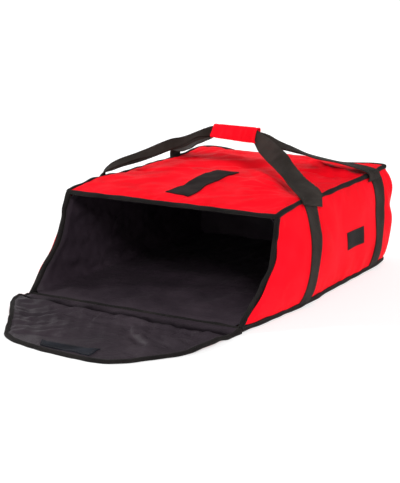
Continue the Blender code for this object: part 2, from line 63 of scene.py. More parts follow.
HINGE_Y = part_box("flap_shell")[1][1]
FLAP_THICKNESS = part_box("flap_lining")[1][2]
GRIP_LOW, GRIP_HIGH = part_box("grip_wrap_rear")
GRIP_X = (GRIP_LOW[0] + GRIP_HIGH[0]) / 2
GRIP_Z = (GRIP_LOW[2] + GRIP_HIGH[2]) / 2
GRIP_Y = GRIP_LOW[1]
FRONT_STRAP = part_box("side_strap_front_right")
REAR_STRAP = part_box("side_strap_rear_right")

# Swells of the padded walls, as in the solids
SIDE_BULGE = 0.014
CORNER_BULGE = 0.01
TOP_BULGE = 0.006
BACK_BULGE = 0.009
WALL = 0.0108

# Cloth and webbing; how far cloth is drawn in under a binding; and the size of its mesh
NYLON = 0.0012
LINING = 0.001
WEBBING = 0.0018
TUCK = 0.0024
CELL = 0.0038

# The mouth's slope, as shares of the front height and of the setback
MOUTH_START_SHARE = 0.03
MOUTH_RUN_SHARE = 0.48
MOUTH_SOFT_SHARE = 0.12
MOUTH_SETBACK = TOP_FRONT_Y - FRONT_Y
# How the photographed mouth differs from that: drawn forward round a height on both sides, more so
# on the left, whose edge and upper corner lean out
MOUTH_FORWARD = 0.005
MOUTH_FORWARD_Z = 0.082
MOUTH_FORWARD_SPAN = 0.03
LEFT_MOUTH_FORWARD = 0.012
LEFT_MOUTH_OUT = 0.01
LEFT_CORNER_OUT = 0.0058
LEFT_RIM_OUT = 0.0085
LEFT_RIM_SPAN = 0.1


def tenths(value):
    """A table in tenths of a millimetre, turned into metres."""
    return tuple(tenths(item) for item in value) if isinstance(value, tuple) else value / 10000


def rim_height(y):
    """Height of the top's edge along the bag."""
    share = np.clip((y - TOP_FRONT_Y) / TOP_DEPTH, 0.0, 1.0)
    return FRONT_HEIGHT + (BACK_HEIGHT - FRONT_HEIGHT) * share * (2 - share)


# How far the top's edges stand above the solids' rim: along the sides, and across the back
SIDE_RIM = tenths((
    (-1690, 0), (-1230, 26), (-860, 45), (-500, 20), (0, -42), (450, -50), (900, -56), (1400, -70),
    (1900, -80), (2490, -55), (2920, -20),
))
BACK_RIM = tenths((
    (-2100, -20), (-1950, 2), (-1800, 24), (-1680, 24), (-1410, -8), (-1090, -50), (-500, -54), (500, -50),
    (1210, -60), (1420, -50), (1650, -28), (1920, -10), (2100, -20),
))


def knotted(value, knots):
    """Smooth line through knots, at a value."""
    places, heights = zip(*knots)
    spots = np.linspace(places[0], places[-1], 200)
    kernel = np.hanning(19)
    raw = np.pad(np.interp(spots, places, heights), 9, mode="edge")
    return np.interp(value, spots, np.convolve(raw, kernel / kernel.sum(), "valid"))


def rim_level(x, y):
    """Height of the top at its edges, with their lifts and sags, eased away towards its middle."""
    near_side = ease(np.abs(x), 0.1, HALF_WIDTH - 0.002)
    near_back = ease(y, BACK_Y - 0.075, BACK_Y - 0.002)
    edge = near_side * (1 - near_back) * knotted(y, SIDE_RIM) + near_back * knotted(x, BACK_RIM)
    return rim_height(y) + edge


def corner_lean(y):
    """How far the top's left edge stands out near the mouth."""
    return LEFT_RIM_OUT * bell(y - TOP_FRONT_Y, LEFT_RIM_SPAN)


def mouth_y(z):
    """Front edge of a side at a height."""
    level = (z / FRONT_HEIGHT - MOUTH_START_SHARE) / MOUTH_RUN_SHARE
    rounded = MOUTH_SOFT_SHARE * np.log(1 + np.exp((1 - level) / MOUTH_SOFT_SHARE))
    return FRONT_Y + MOUTH_SETBACK * (1 - rounded)


def mouth_front(z, sign):
    """Front edge of a side's cloth: as in the solids, but drawn forward, and further on the left."""
    level = np.clip(z / FRONT_HEIGHT, 0.0, 1.0)
    ahead = MOUTH_FORWARD * np.exp(-((z - MOUTH_FORWARD_Z) / MOUTH_FORWARD_SPAN) ** 2)
    if sign < 0:
        ahead = ahead + LEFT_MOUTH_FORWARD * 4 * level * (1 - level)
    return mouth_y(z) - ahead


def mouth_bow(z, sign):
    """How far a side's front edge leans out."""
    level = np.clip(z / FRONT_HEIGHT, 0.0, 1.0)
    return (LEFT_MOUTH_OUT * 4 * level * (1 - level) + LEFT_CORNER_OUT * ease(level, 0.35, 1.0)) * (sign < 0)


def hump(share):
    """A parabola that is 0 at both ends and 1 in the middle."""
    return 4 * share * (1 - share)


def broad_hump(share):
    """Like hump, but flatter in the middle."""
    return 1 - (2 * share - 1) ** 4


def ease(value, start, end):
    """0 before start, 1 after end, smooth between."""
    share = np.clip((value - start) / (end - start), 0.0, 1.0)
    return share * share * (3 - 2 * share)


def bell(distance, width):
    """A soft bump, 1 in its middle."""
    return np.exp(-(distance / width) ** 2)


def ripple(u, v, length, seed):
    """A smooth uneven field between about -1 and 1, with waves of about a length."""
    draw = np.random.default_rng(seed)
    total = np.zeros(np.broadcast(u, v).shape)
    for _ in range(12):
        angle = draw.uniform(0, 2 * math.pi)
        wave = length * draw.uniform(0.65, 1.6)
        phase = draw.uniform(0, 2 * math.pi)
        total = total + np.sin(2 * math.pi * (u * math.cos(angle) + v * math.sin(angle)) / wave + phase)
    return total / 3.5


def creases(u, v, table):
    """Sum of straight soft folds: u and v of both ends, half width and height."""
    total = np.zeros(np.broadcast(u, v).shape)
    for u0, v0, u1, v1, width, height in table:
        run = math.hypot(u1 - u0, v1 - v0)
        along = ((u - u0) * (u1 - u0) + (v - v0) * (v1 - v0)) / run
        across = ((v - v0) * (u1 - u0) - (u - u0) * (v1 - v0)) / run
        taper = ease(along, -width, run * 0.3) * (1 - ease(along, run * 0.7, run + width))
        total = total + height * bell(across, width) * taper
    return total


def blur(points, passes):
    """Even out a grid of points a little, with its border left in place."""
    for _ in range(passes):
        inner = points[1:-1, 1:-1]
        around = points[:-2, 1:-1] + points[2:, 1:-1] + points[1:-1, :-2] + points[1:-1, 2:]
        points[1:-1, 1:-1] = inner * 0.5 + around * 0.125
    return points


def facing(points):
    """Unit normals of a grid, from its rows and columns."""
    normals = np.cross(np.gradient(points, axis=1), np.gradient(points, axis=0))
    return normals / np.maximum(np.linalg.norm(normals, axis=2, keepdims=True), 1e-12)


def travelled(path):
    """Distance along a path to each of its points."""
    return np.concatenate([[0.0], np.cumsum(np.linalg.norm(np.diff(path, axis=0), axis=1))])


def placed(name, data):
    """A new object in the scene."""
    item = bpy.data.objects.new(name, data)
    bpy.context.scene.collection.objects.link(item)
    return item


def grid_faces(rows, columns):
    """Faces between the points of a grid, as the points' numbers."""
    index = np.arange(rows * columns).reshape(rows, columns)
    corners = (index[:-1, :-1], index[:-1, 1:], index[1:, 1:], index[1:, :-1])
    return np.stack([corner.ravel() for corner in corners], axis=1).tolist()


def held_edges(points):
    """A mark for every point of a grid, set along its border."""
    held = np.zeros(points.shape[:2], bool)
    held[[0, 1, -2, -1]] = True
    held[:, [0, 1, -2, -1]] = True
    return held


SETTLE_FRAMES = 16


def settle_cloth(points, held, slack, pressure, cap):
    """Let a sheet of cloth buckle between its held points, none moving past the cap."""
    rows, columns = points.shape[:2]
    mesh = bpy.data.meshes.new("settling")
    mesh.from_pydata(points.reshape(-1, 3).tolist(), [], grid_faces(rows, columns))
    sheet = placed("settling", mesh)
    group = sheet.vertex_groups.new(name="held")
    group.add(np.flatnonzero(held).tolist(), 1.0, "REPLACE")
    cloth = sheet.modifiers.new("cloth", "CLOTH")
    settings = cloth.settings
    settings.quality = 5
    settings.mass = 0.2
    settings.tension_stiffness = 25
    settings.compression_stiffness = 25
    settings.shear_stiffness = 12
    settings.bending_stiffness = 1.2
    settings.air_damping = 4
    settings.vertex_group_mass = "held"
    settings.shrink_min = -slack
    settings.use_pressure = pressure != 0
    settings.uniform_pressure_force = pressure
    settings.effector_weights.gravity = 0
    cloth.collision_settings.use_collision = False
    cloth.point_cache.frame_start = 1
    cloth.point_cache.frame_end = SETTLE_FRAMES
    scene = bpy.context.scene
    for number in range(1, SETTLE_FRAMES + 1):
        scene.frame_set(number)
    result = sheet.evaluated_get(bpy.context.evaluated_depsgraph_get())
    flat = np.empty(rows * columns * 3, np.float32)
    result.data.vertices.foreach_get("co", flat)
    scene.frame_set(1)
    bpy.data.objects.remove(sheet, do_unlink=True)
    bpy.data.meshes.remove(mesh)
    shift = flat.reshape(rows, columns, 3).astype(float) - points
    length = np.maximum(np.linalg.norm(shift, axis=2, keepdims=True), 1e-9)
    return points + shift * (cap * np.tanh(length / cap) / length)


def ring_body(name, rings, material, loop=False):
    """A closed body through rings of points: each ring runs out along a face and back behind it."""
    rings = np.asarray(rings, float)
    count, size = rings.shape[:2]
    around = np.linalg.norm(np.diff(rings, axis=1, append=rings[:, :1]), axis=2).mean(axis=0)
    across = np.concatenate([[0.0], np.cumsum(around)])
    steps = np.linalg.norm(np.roll(rings, -1, axis=0) - rings, axis=2).mean(axis=1)
    along = np.concatenate([[0.0], np.cumsum(steps)])
    faces = []
    places = []
    last = count if loop else count - 1
    for ring in range(last):
        here = ring * size
        there = (ring + 1) % count * size
        for side in range(size):
            ahead = (side + 1) % size
            faces.append((here + side, here + ahead, there + ahead, there + side))
            u0, u1, v0, v1 = across[side], across[side + 1], along[ring], along[ring + 1]
            places.extend(((u0, v0), (u1, v0), (u1, v1), (u0, v1)))
    if not loop:
        half = size // 2
        for start, turn in ((0, -1), ((count - 1) * size, 1)):
            for side in range(half - 1):
                quad = (side, side + 1, size - 2 - side, size - 1 - side)[::turn]
                faces.append(tuple(start + point for point in quad))
                places.extend((across[point], along[0]) for point in quad)
    mesh = bpy.data.meshes.new(name)
    mesh.from_pydata(rings.reshape(-1, 3).tolist(), [], faces)
    layer = mesh.uv_layers.new(name="cloth")
    layer.data.foreach_set("uv", np.array(places, np.float32).ravel())
    grid = bmesh.new()
    grid.from_mesh(mesh)
    bmesh.ops.recalc_face_normals(grid, faces=grid.faces)
    grid.to_mesh(mesh)
    grid.free()
    mesh.materials.append(material)
    mesh.shade_smooth()
    mesh.set_sharp_from_angle(angle=math.radians(50))
    return placed(name, mesh)


def cloth_sheet(name, points, thickness, material):
    """A closed sheet: its seen face at the points, its other face a thickness behind."""
    back = points - facing(points) * thickness
    return ring_body(name, np.concatenate([points, back[:, ::-1]], axis=1), material)


def border(grid, part, out):
    """Closed line round a part of a grid of points, with the way it faces there."""
    rows, columns = grid[part].shape[:2]
    walk = [(r, 0) for r in range(rows - 1)] + [(rows - 1, c) for c in range(columns - 1)]
    walk += [(r, columns - 1) for r in range(rows - 1, 0, -1)] + [(0, c) for c in range(columns - 1, 0, -1)]
    walk = tuple(np.array(walk).T)
    return grid[part][walk], out[part][walk], True


def skin_tree(piece):
    """A search tree over a piece's faces."""
    points = [tuple(vert.co) for vert in piece.data.vertices]
    return BVHTree.FromPolygons(points, [tuple(face.vertices) for face in piece.data.polygons])


def dress(piece, body, nodes=()):
    """Hide the solids a piece stands for, and attach it to what it rides on."""
    if nodes:
        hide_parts(*nodes)
    if body:
        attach(piece, body)
    return piece


# Finishes


def add_node(tree, kind, inputs=None, **settings):
    """A new node with its own options, and its inputs joined or set by place or by identifier."""
    item = tree.nodes.new(kind)
    for key, value in settings.items():
        setattr(item, key, value)
    for name, value in (inputs or {}).items():
        socket = item.inputs[name] if isinstance(name, int) else next(
            each for each in item.inputs if each.identifier == name
        )
        if isinstance(value, bpy.types.NodeSocket):
            tree.links.new(value, socket)
        elif value is not None:
            socket.default_value = value
    return item


class Finish:
    """A material under construction: short ways to add and join its nodes."""

    def __init__(self, name, roughness, sheen=0.0, specular=0.5):
        self.material = bpy.data.materials.new(name)
        self.material.use_nodes = True
        self.tree = self.material.node_tree
        self.shader = self.tree.nodes["Principled BSDF"]
        self.shader.inputs["Roughness"].default_value = roughness
        self.shader.inputs["Sheen Weight"].default_value = sheen
        self.shader.inputs["Sheen Roughness"].default_value = 0.4
        self.shader.inputs["Specular IOR Level"].default_value = specular

    def node(self, kind, inputs=None, **settings):
        """Add a node to the material."""
        return add_node(self.tree, kind, inputs, **settings)

    def join(self, output, socket):
        """Join an output to an input."""
        self.tree.links.new(output, socket)

    def sums(self, operation, first, second=None):
        """A Math node on outputs or numbers."""
        return self.node("ShaderNodeMath", {0: first, 1: second}, operation=operation).outputs[0]

    def cloth_place(self):
        """The piece's own cloth coordinates in metres, as two outputs."""
        source = self.node("ShaderNodeUVMap", uv_map="cloth")
        split = self.node("ShaderNodeSeparateXYZ", {0: source.outputs[0]})
        return split.outputs[0], split.outputs[1]

    def noise(self, scale, detail=3.0, rough=0.5):
        """A noise value on the object's own coordinates."""
        place = self.node("ShaderNodeTexCoord").outputs["Object"]
        values = {"Vector": place, "Scale": scale, "Detail": detail, "Roughness": rough}
        return self.node("ShaderNodeTexNoise", values).outputs[0]

    def stripes(self, place, pitch):
        """A wave along one coordinate with a pitch in metres."""
        return self.sums("SINE", self.sums("MULTIPLY", place, 2 * math.pi / pitch))

    def colours(self, value, stops):
        """Base colour from a value through a ramp."""
        ramp = self.node("ShaderNodeValToRGB")
        while len(ramp.color_ramp.elements) < len(stops):
            ramp.color_ramp.elements.new(0.5)
        for element, (place, colour) in zip(ramp.color_ramp.elements, stops):
            element.position = place
            element.color = (*colour, 1.0)
        self.join(value, ramp.inputs[0])
        self.join(ramp.outputs[0], self.shader.inputs["Base Color"])

    def polish(self, value, low, high):
        """Roughness between two values."""
        spread = self.node("ShaderNodeMapRange", {"Value": value, "To Min": low, "To Max": high})
        self.join(spread.outputs[0], self.shader.inputs["Roughness"])

    def relief(self, layers):
        """Bumps from pairs of a height and its depth in metres, one over another."""
        previous = None
        for height, depth in layers:
            values = {"Strength": 1.0, "Distance": depth, "Height": height, "Normal": previous}
            previous = self.node("ShaderNodeBump", values).outputs[0]
        self.join(previous, self.shader.inputs["Normal"])


def woven(name, stops, rough, thread, depth, sheen, specular, wrinkle, painted_crease_shade=0.0):
    """Plain woven cloth: threads over and under, soft crumples, uneven colour, and painted shade where a shade
    attribute is set.
    """
    finish = Finish(name, sum(rough) / 2, sheen, specular)
    u, v = finish.cloth_place()
    over = finish.sums("MULTIPLY", finish.stripes(u, thread), finish.stripes(v, thread))
    shade = finish.sums("ADD", finish.noise(11.0), finish.sums("MULTIPLY", over, 0.03))
    finish.colours(shade, stops)
    finish.polish(finish.noise(160.0, 2.0), *rough)
    crumple = finish.noise(34.0, 4.0, 0.55)
    finish.relief(((crumple, wrinkle), (over, depth)))
    # Painted shade: where the point attribute of painted shade is set, the colour is mixed towards near-black and
    # the specular dulled.
    if painted_crease_shade:
        mark = finish.node("ShaderNodeAttribute", attribute_name="painted_crease_shade")
        painted_shade_mix = finish.node("ShaderNodeMix", data_type="RGBA")
        finish.join(finish.sums("MULTIPLY", mark.outputs["Fac"], painted_crease_shade), painted_shade_mix.inputs["Factor"])
        finish.join(finish.shader.inputs["Base Color"].links[0].from_socket, painted_shade_mix.inputs["A"])
        painted_shade_mix.inputs["B"].default_value = (0.003, 0.002, 0.003, 1.0)
        finish.join(painted_shade_mix.outputs["Result"], finish.shader.inputs["Base Color"])
        shade_dulled_specular = finish.sums("MULTIPLY_ADD", mark.outputs["Fac"], -0.9 * specular)
        shade_dulled_specular.node.inputs[2].default_value = specular
        finish.join(shade_dulled_specular, finish.shader.inputs["Specular IOR Level"])
    return finish.material


def ribbed(name, stops, rough, rib, depth, sheen):
    """Ribbed tape or webbing: ribs across it, finer threads along it, worn lighter in places."""
    finish = Finish(name, sum(rough) / 2, sheen, 0.1)
    u, v = finish.cloth_place()
    ribs = finish.stripes(v, rib)
    threads = finish.stripes(u, rib * 0.62)
    shade = finish.sums("ADD", finish.noise(26.0, 4.0), finish.sums("MULTIPLY", ribs, 0.17))
    finish.colours(shade, stops)
    finish.polish(finish.noise(220.0, 2.0), *rough)
    weave = finish.sums("ADD", ribs, finish.sums("MULTIPLY", threads, 0.5))
    finish.relief(((finish.noise(60.0, 3.0), depth * 3), (weave, depth)))
    return finish.material


def napped(name, stops, scale, depth):
    """Hook-and-loop tape: a dense nap of tiny loops."""
    finish = Finish(name, 0.95, 0.01, 0.05)
    nap = finish.noise(scale, 2.0, 0.7)
    finish.colours(finish.sums("ADD", finish.noise(24.0), finish.sums("MULTIPLY", nap, 0.35)), stops)
    finish.polish(nap, 0.85, 1.0)
    finish.relief(((finish.noise(70.0, 3.0), depth * 2), (nap, depth)))
    return finish.material


def thread_finish(name, stops):
    """Twisted sewing thread, a little uneven in colour."""
    finish = Finish(name, 0.6, 0.02, 0.12)
    twist = finish.noise(1500.0, 2.0, 0.6)
    finish.colours(finish.sums("ADD", finish.noise(40.0), finish.sums("MULTIPLY", twist, 0.2)), stops)
    finish.polish(twist, 0.52, 0.74)
    finish.relief(((twist, 0.00006),))
    return finish.material


RED = woven(
    "red nylon",
    ((0.3, (0.8, 0.003, 0.011)), (0.5, (0.92, 0.0045, 0.015)), (0.72, (0.97, 0.009, 0.021))),
    (0.48, 0.6), 0.0009, 0.00004, 0.0, 0.02, 0.001,
)
# Dark lining cloth; its last setting is how strongly painted shade darkens it where its shade attribute is set.
DARK = woven(
    "dark lining nylon",
    ((0.3, (0.021, 0.014, 0.02)), (0.52, (0.028, 0.019, 0.026)), (0.75, (0.038, 0.027, 0.035))),
    (0.42, 0.56), 0.0008, 0.00003, 0.01, 0.17, 0.001, painted_crease_shade=0.8,
)
EDGE = ribbed(
    "black binding tape",
    ((0.25, (0.006, 0.005, 0.005)), (0.55, (0.011, 0.009, 0.009)), (0.85, (0.022, 0.018, 0.017))),
    (0.72, 0.9), 0.0016, 0.0001, 0.01,
)
STRAP = ribbed(
    "charcoal webbing",
    ((0.25, (0.016, 0.012, 0.01)), (0.55, (0.029, 0.023, 0.02)), (0.85, (0.05, 0.041, 0.036))),
    (0.74, 0.92), 0.0022, 0.00022, 0.01,
)
LOOP_NAP = napped(
    "loop tape nap",
    ((0.35, (0.008, 0.006, 0.006)), (0.62, (0.017, 0.013, 0.013)), (0.9, (0.03, 0.024, 0.023))),
    900.0, 0.0004,
)
HOOK_NAP = napped(
    "hook tape nap",
    ((0.35, (0.009, 0.01, 0.013)), (0.62, (0.016, 0.017, 0.023)), (0.9, (0.03, 0.032, 0.041))),
    1100.0, 0.0005,
)
PATCH_CLOTH = ribbed(
    "patch cloth",
    ((0.25, (0.008, 0.007, 0.007)), (0.55, (0.016, 0.014, 0.014)), (0.85, (0.03, 0.027, 0.026))),
    (0.7, 0.88), 0.0012, 0.0001, 0.01,
)
RED_THREAD = thread_finish(
    "red thread", ((0.3, (0.5, 0.004, 0.01)), (0.5, (0.66, 0.006, 0.015)), (0.7, (0.78, 0.01, 0.022))),
)
BLACK_THREAD = thread_finish(
    "black thread", ((0.3, (0.02, 0.017, 0.016)), (0.5, (0.034, 0.029, 0.027)), (0.7, (0.055, 0.048, 0.045))),
)


# Outer walls: one band of red cloth round the right side, the back and the left side

CORNER_ROUND = 0.013
MEAN_HEIGHT = 0.17
BASE_BOW = 0.0095
FRONT_BOW = 0.0065
FRONT_BOW_Y = -0.095
FRONT_BOW_SPAN = 0.085
# Where the side webbing presses its cloth in, and the half width that the strain holds still
STRAP_PRESS = 0.0026
STRAP_SPAN = 0.026
STRAP_HELD = 0.008
ROWS = 52
SIDE_COLUMNS = 150
BACK_COLUMNS = 104
CORNER_COLUMNS = 9
# Folds of a side: distance behind the top's front edge, height, both ends; half width; height
SIDE_FOLDS = tenths((
    (750, 1200, 400, 450, 160, 18), (1650, 1500, 2250, 700, 180, 22), (1500, 1450, 1850, 950, 90, -18),
    (3300, 1600, 2900, 1100, 160, 18), (2150, 400, 3300, 550, 200, -16), (4250, 1500, 4400, 600, 120, 22),
    (-700, 220, 200, 600, 140, 24), (1400, 1680, 1560, 1200, 70, 16), (1720, 1700, 2050, 1250, 70, 14),
    (300, 1500, 750, 1050, 80, 14),
))


def strap_middle(strap):
    """Middle of a side webbing along the bag."""
    return (strap[0][1] + strap[1][1]) / 2


def base_bow(y):
    """How far the long edges of the base bow out."""
    depth = np.clip((y - FRONT_Y) / (BACK_Y - FRONT_Y), 0.0, 1.0)
    return BASE_BOW * broad_hump(depth) + FRONT_BOW * bell(y - FRONT_BOW_Y, FRONT_BOW_SPAN)


def corner_fill(row):
    """How the walls fill out near the rear corners."""
    return (
        0.004 * broad_hump(row) + 0.0042 * bell(row - 0.82, 0.11) - 0.0026 * bell(row - 0.6, 0.08)
        + 0.0012 * bell(row - 0.38, 0.1)
    ) * ease(1 - row, 0.0, 0.08)


def side_swell(y, row, front, turn):
    """How far a side stands out at a place along it and a share of its height."""
    depth = np.clip((y - front) / (BACK_Y - front), 0.0, 1.0)
    swell = (SIDE_BULGE * broad_hump(depth) + CORNER_BULGE * depth ** 6) * hump(row)
    swell = swell * (1 - 0.35 * (1 - row)) + base_bow(y) * (1 - ease(row, -0.05, 0.85))
    swell = swell + 0.0055 * bell(np.hypot(y + 0.05, (row - 0.48) * MEAN_HEIGHT), 0.075) * hump(row)
    swell = swell + corner_fill(row) * depth ** 8
    if turn:
        swell = swell + mouth_bow(row * FRONT_HEIGHT, -1) * bell(y - front, 0.1)
    for strap in (FRONT_STRAP, REAR_STRAP):
        swell = swell - STRAP_PRESS * bell(y - strap_middle(strap), STRAP_SPAN) * hump(row)
    z = row * rim_height(y)
    swell = swell + creases(y - TOP_FRONT_Y, z, SIDE_FOLDS) * hump(row)
    swell = swell + 0.0012 * ripple(y, z, 0.085, 11 + turn) * np.sqrt(np.abs(hump(row)))
    edge = np.minimum(row, 1 - row) * MEAN_HEIGHT
    pucker = ripple(y, z * 0.15, 0.021, 23 + turn) * bell(edge - 0.01, 0.01)
    return swell + 0.0007 * pucker


def band_points():
    """Points of the band, row by row from the base up, right side first."""
    rows = np.linspace(0.0, 1.0, ROWS)[:, None]
    stop = BACK_Y - CORNER_ROUND
    low = BINDING - 0.005
    share = np.linspace(0.0, 1.0, SIDE_COLUMNS)[None, :]
    hidden = BINDING - 0.0045
    top_rough = FRONT_HEIGHT - hidden
    tuck = TUCK * (1 - ease(np.minimum(rows, 1 - rows) * MEAN_HEIGHT, 0.004, 0.013))
    sides = []
    for turn in (0, 1):
        front = mouth_front(low + rows * (top_rough - low), 1 - 2 * turn) + 0.004
        y = front + share * (stop - front)
        mouth_tuck = TUCK * (1 - ease(y - front, 0.004, 0.012))
        x = HALF_WIDTH + side_swell(y, rows, front, turn) - np.maximum(tuck, mouth_tuck) - tuck * mouth_tuck / TUCK
        z = low + rows * (rim_level(HALF_WIDTH, y) - hidden - low)
        sides.append(np.stack([x, y + 0 * x, z + 0 * x], axis=2))
    right, left = sides
    angle = np.linspace(0.0, math.pi / 2, CORNER_COLUMNS + 2)[None, 1:-1]
    bulge = CORNER_BULGE * hump(rows) + corner_fill(rows)
    corner_x = HALF_WIDTH - CORNER_ROUND + (CORNER_ROUND + bulge - tuck) * np.cos(angle)
    back_start = BACK_BULGE * 0.35 * hump(rows) + 0.75 * corner_fill(rows)
    corner_y = stop + (CORNER_ROUND + back_start - tuck) * np.sin(angle)
    z = low + rows * (rim_level(corner_x, BACK_Y) - hidden - low)
    corner = np.stack([corner_x, corner_y, z], axis=2)
    across = np.linspace(1.0, -1.0, BACK_COLUMNS)[None, :]
    x = across * (HALF_WIDTH - CORNER_ROUND) + 0 * rows
    wide = 0.35 + 0.65 * (1 - across ** 4)
    z = low + rows * (rim_level(x, BACK_Y) - hidden - low)
    out = BACK_BULGE * wide * hump(rows) + 0.003 * broad_hump(rows) * (1 - across ** 8)
    out = out + 0.75 * corner_fill(rows) * across ** 8
    out = out + 0.0016 * ripple(x, z, 0.1, 31) * np.sqrt(np.abs(hump(rows)))
    edge = np.minimum(rows, 1 - rows) * MEAN_HEIGHT
    out = out + 0.001 * ripple(x, z * 0.15, 0.022, 37) * bell(edge - 0.01, 0.01) - tuck
    back = np.stack([x, BACK_Y + out, z], axis=2)
    mirror = np.array([-1.0, 1.0, 1.0])
    parts = [right, corner, back, corner[:, ::-1] * mirror, left[:, ::-1] * mirror]
    band = np.concatenate(parts, axis=1)
    held = held_edges(band)
    for strap in (FRONT_STRAP, REAR_STRAP):
        held |= (np.abs(band[:, :, 1] - strap_middle(strap)) < STRAP_HELD)
    return blur(settle_cloth(band, held, 0.005, 2.0, 0.0014), 3)


band = band_points()
side_skin = cloth_sheet("side_skin", band, NYLON, RED)
SIDE_TREE = skin_tree(side_skin)


DOWN = Vector((0.0, 0.0, -1.0))


def on_side(y, z, sign, above=0.0):
    """Point on a side's cloth at a place along it and a height, or a little above it."""
    start = Vector((sign * (HALF_WIDTH + 0.1), y, z))
    spot, normal, *_ = SIDE_TREE.ray_cast(start, Vector((-sign, 0.0, 0.0)))
    if spot is None:
        return np.array((sign * (HALF_WIDTH - TUCK + above), y, z))
    return np.array(spot + normal.normalized() * above)


# Top: red cloth that rises and dips between its bindings

# Folds of the top: both ends, half width and height
TOP_FOLDS = tenths((
    (-1840, 1700, -1280, 1380, 120, -85), (-1550, 80, -500, 230, 70, 40), (-1860, 220, -1420, 120, 90, -80),
    (-1200, 500, -500, 730, 110, -48), (-900, 1100, -150, 1330, 60, 30), (700, 800, 1600, 160, 150, -68),
    (880, 1170, 1650, 1300, 130, -78), (1480, 1260, 2120, 1700, 120, -74), (750, 2200, 1680, 1400, 48, 58),
    (1580, 1470, 2050, 1020, 48, 40), (1100, 1960, 1900, 1680, 120, 36), (400, 700, 1450, -100, 60, 32),
    (500, 300, 1550, -260, 60, 30), (500, -20, 1550, -380, 60, 30), (620, -340, 1600, -500, 60, 28),
    (800, -700, 1650, -620, 70, 26), (950, -1050, 1700, -780, 80, 24), (550, -180, 1500, -440, 70, -26),
    (-600, 2350, 600, 2150, 160, 12), (-1100, 1950, -200, 1500, 120, 34), (-600, 1050, 200, 1200, 140, -34),
    (200, 1650, 850, 1500, 100, -30),
))


TOP_FOLD_DEPTH = 1.35
# Mounds and hollows of the top: middle, half width and height
TOP_MOUNDS = tenths(((-100, -1050, 400, -30), (0, -200, 450, 34), (50, 620, 500, -30)))


def top_height(x, y):
    """Height of the top's cloth before it settles."""
    across = (x + HALF_WIDTH) / (2 * HALF_WIDTH)
    along = (y - TOP_FRONT_Y) / TOP_DEPTH
    inside = np.minimum(HALF_WIDTH - np.abs(x), np.minimum(y - TOP_FRONT_Y, BACK_Y - y))
    free = ease(inside, 0.006, 0.045)
    height = rim_level(x, y) + TOP_BULGE * hump(across) * hump(along)
    height = height + free * TOP_FOLD_DEPTH * creases(x, y, TOP_FOLDS)
    for middle_x, middle_y, width, rise in TOP_MOUNDS:
        height = height + rise * bell(np.hypot(x - middle_x, y - middle_y), width) * free
    height = height + 0.0044 * bell(y - 0.258, 0.036) * ease(x, -0.19, -0.05) * (1 - ease(x, 0.06, 0.13))
    height = height + free * (0.0016 * ripple(x, y, 0.095, 5) + 0.0007 * ripple(x, y, 0.035, 6))
    pucker = ripple(x, y, 0.024, 7) * bell(inside - 0.014, 0.01)
    return height + 0.0007 * pucker - TUCK * (1 - ease(inside, 0.005, 0.014))


def top_points():
    """Points of the top's cloth, from the mouth to the back."""
    reach = HALF_WIDTH - 0.004
    x = np.linspace(-reach, reach, round(2 * reach / CELL))[None, :]
    y = np.linspace(TOP_FRONT_Y + 0.004, BACK_Y - 0.004, round(TOP_DEPTH / CELL))[:, None]
    z = top_height(x, y)
    wide = x * (1 + corner_lean(y) / HALF_WIDTH * (x < 0))
    points = np.stack([wide + 0 * z, y + 0 * z, z], axis=2)
    return blur(settle_cloth(points, held_edges(points), 0.008, 0.6, 0.0026), 1)


top_skin = cloth_sheet("top_skin", top_points(), NYLON, RED)
TOP_TREE = skin_tree(top_skin)


def on_top(x, y, above=0.0):
    """Point on the top's cloth, or a little above it."""
    spot, normal, *_ = TOP_TREE.ray_cast(Vector((x, y, 0.4)), DOWN)
    if spot is None:
        return np.array((x, y, rim_level(x, y) + above))
    return np.array(spot + normal.normalized() * above)


def base_points():
    """Points of the base's cloth, seen from below."""
    reach = HALF_WIDTH - 0.004
    x = np.linspace(reach, -reach, 70)[None, :]
    y = np.linspace(FRONT_Y + 0.004, BACK_Y - 0.004, 96)[:, None]
    inside = np.minimum(reach - np.abs(x), np.minimum(y - FRONT_Y, BACK_Y - y))
    z = 0.0004 + 0.001 * (1 + ripple(x, y, 0.08, 41)) * ease(inside, 0.0, 0.03)
    z = np.maximum(z, 0.0002)
    wide = x * (1 + base_bow(y) / HALF_WIDTH)
    return np.stack([wide + 0 * z, y + 0 * z, z], axis=2)


base_skin = cloth_sheet("base_skin", base_points(), NYLON, RED)

# Inside: a soft tunnel of dark lining and its back

INNER_ROUND = 0.012
TUNNEL_STEPS = 104


def tunnel_section():
    """Outline of the lining across the bag: share of half width, share of height, and corners."""
    half = HALF_WIDTH - WALL - INNER_ROUND
    marks = []
    for x, share, out, count, turn in (
        ((-half, half), (0.0, 0.0), (0.0, -1.0), 70, -90), ((half, half), (0.0, 1.0), (1.0, 0.0), 34, 0),
        ((half, -half), (1.0, 1.0), (0.0, 1.0), 70, 90), ((-half, -half), (1.0, 0.0), (-1.0, 0.0), 34, 180),
    ):
        marks.extend((*spot, *out) for spot in zip(np.linspace(*x, count), np.linspace(*share, count)))
        for angle in np.linspace(turn, turn + 90, 7)[1:-1]:
            marks.append((x[1], share[1], math.cos(math.radians(angle)), math.sin(math.radians(angle))))
    return np.array(marks)


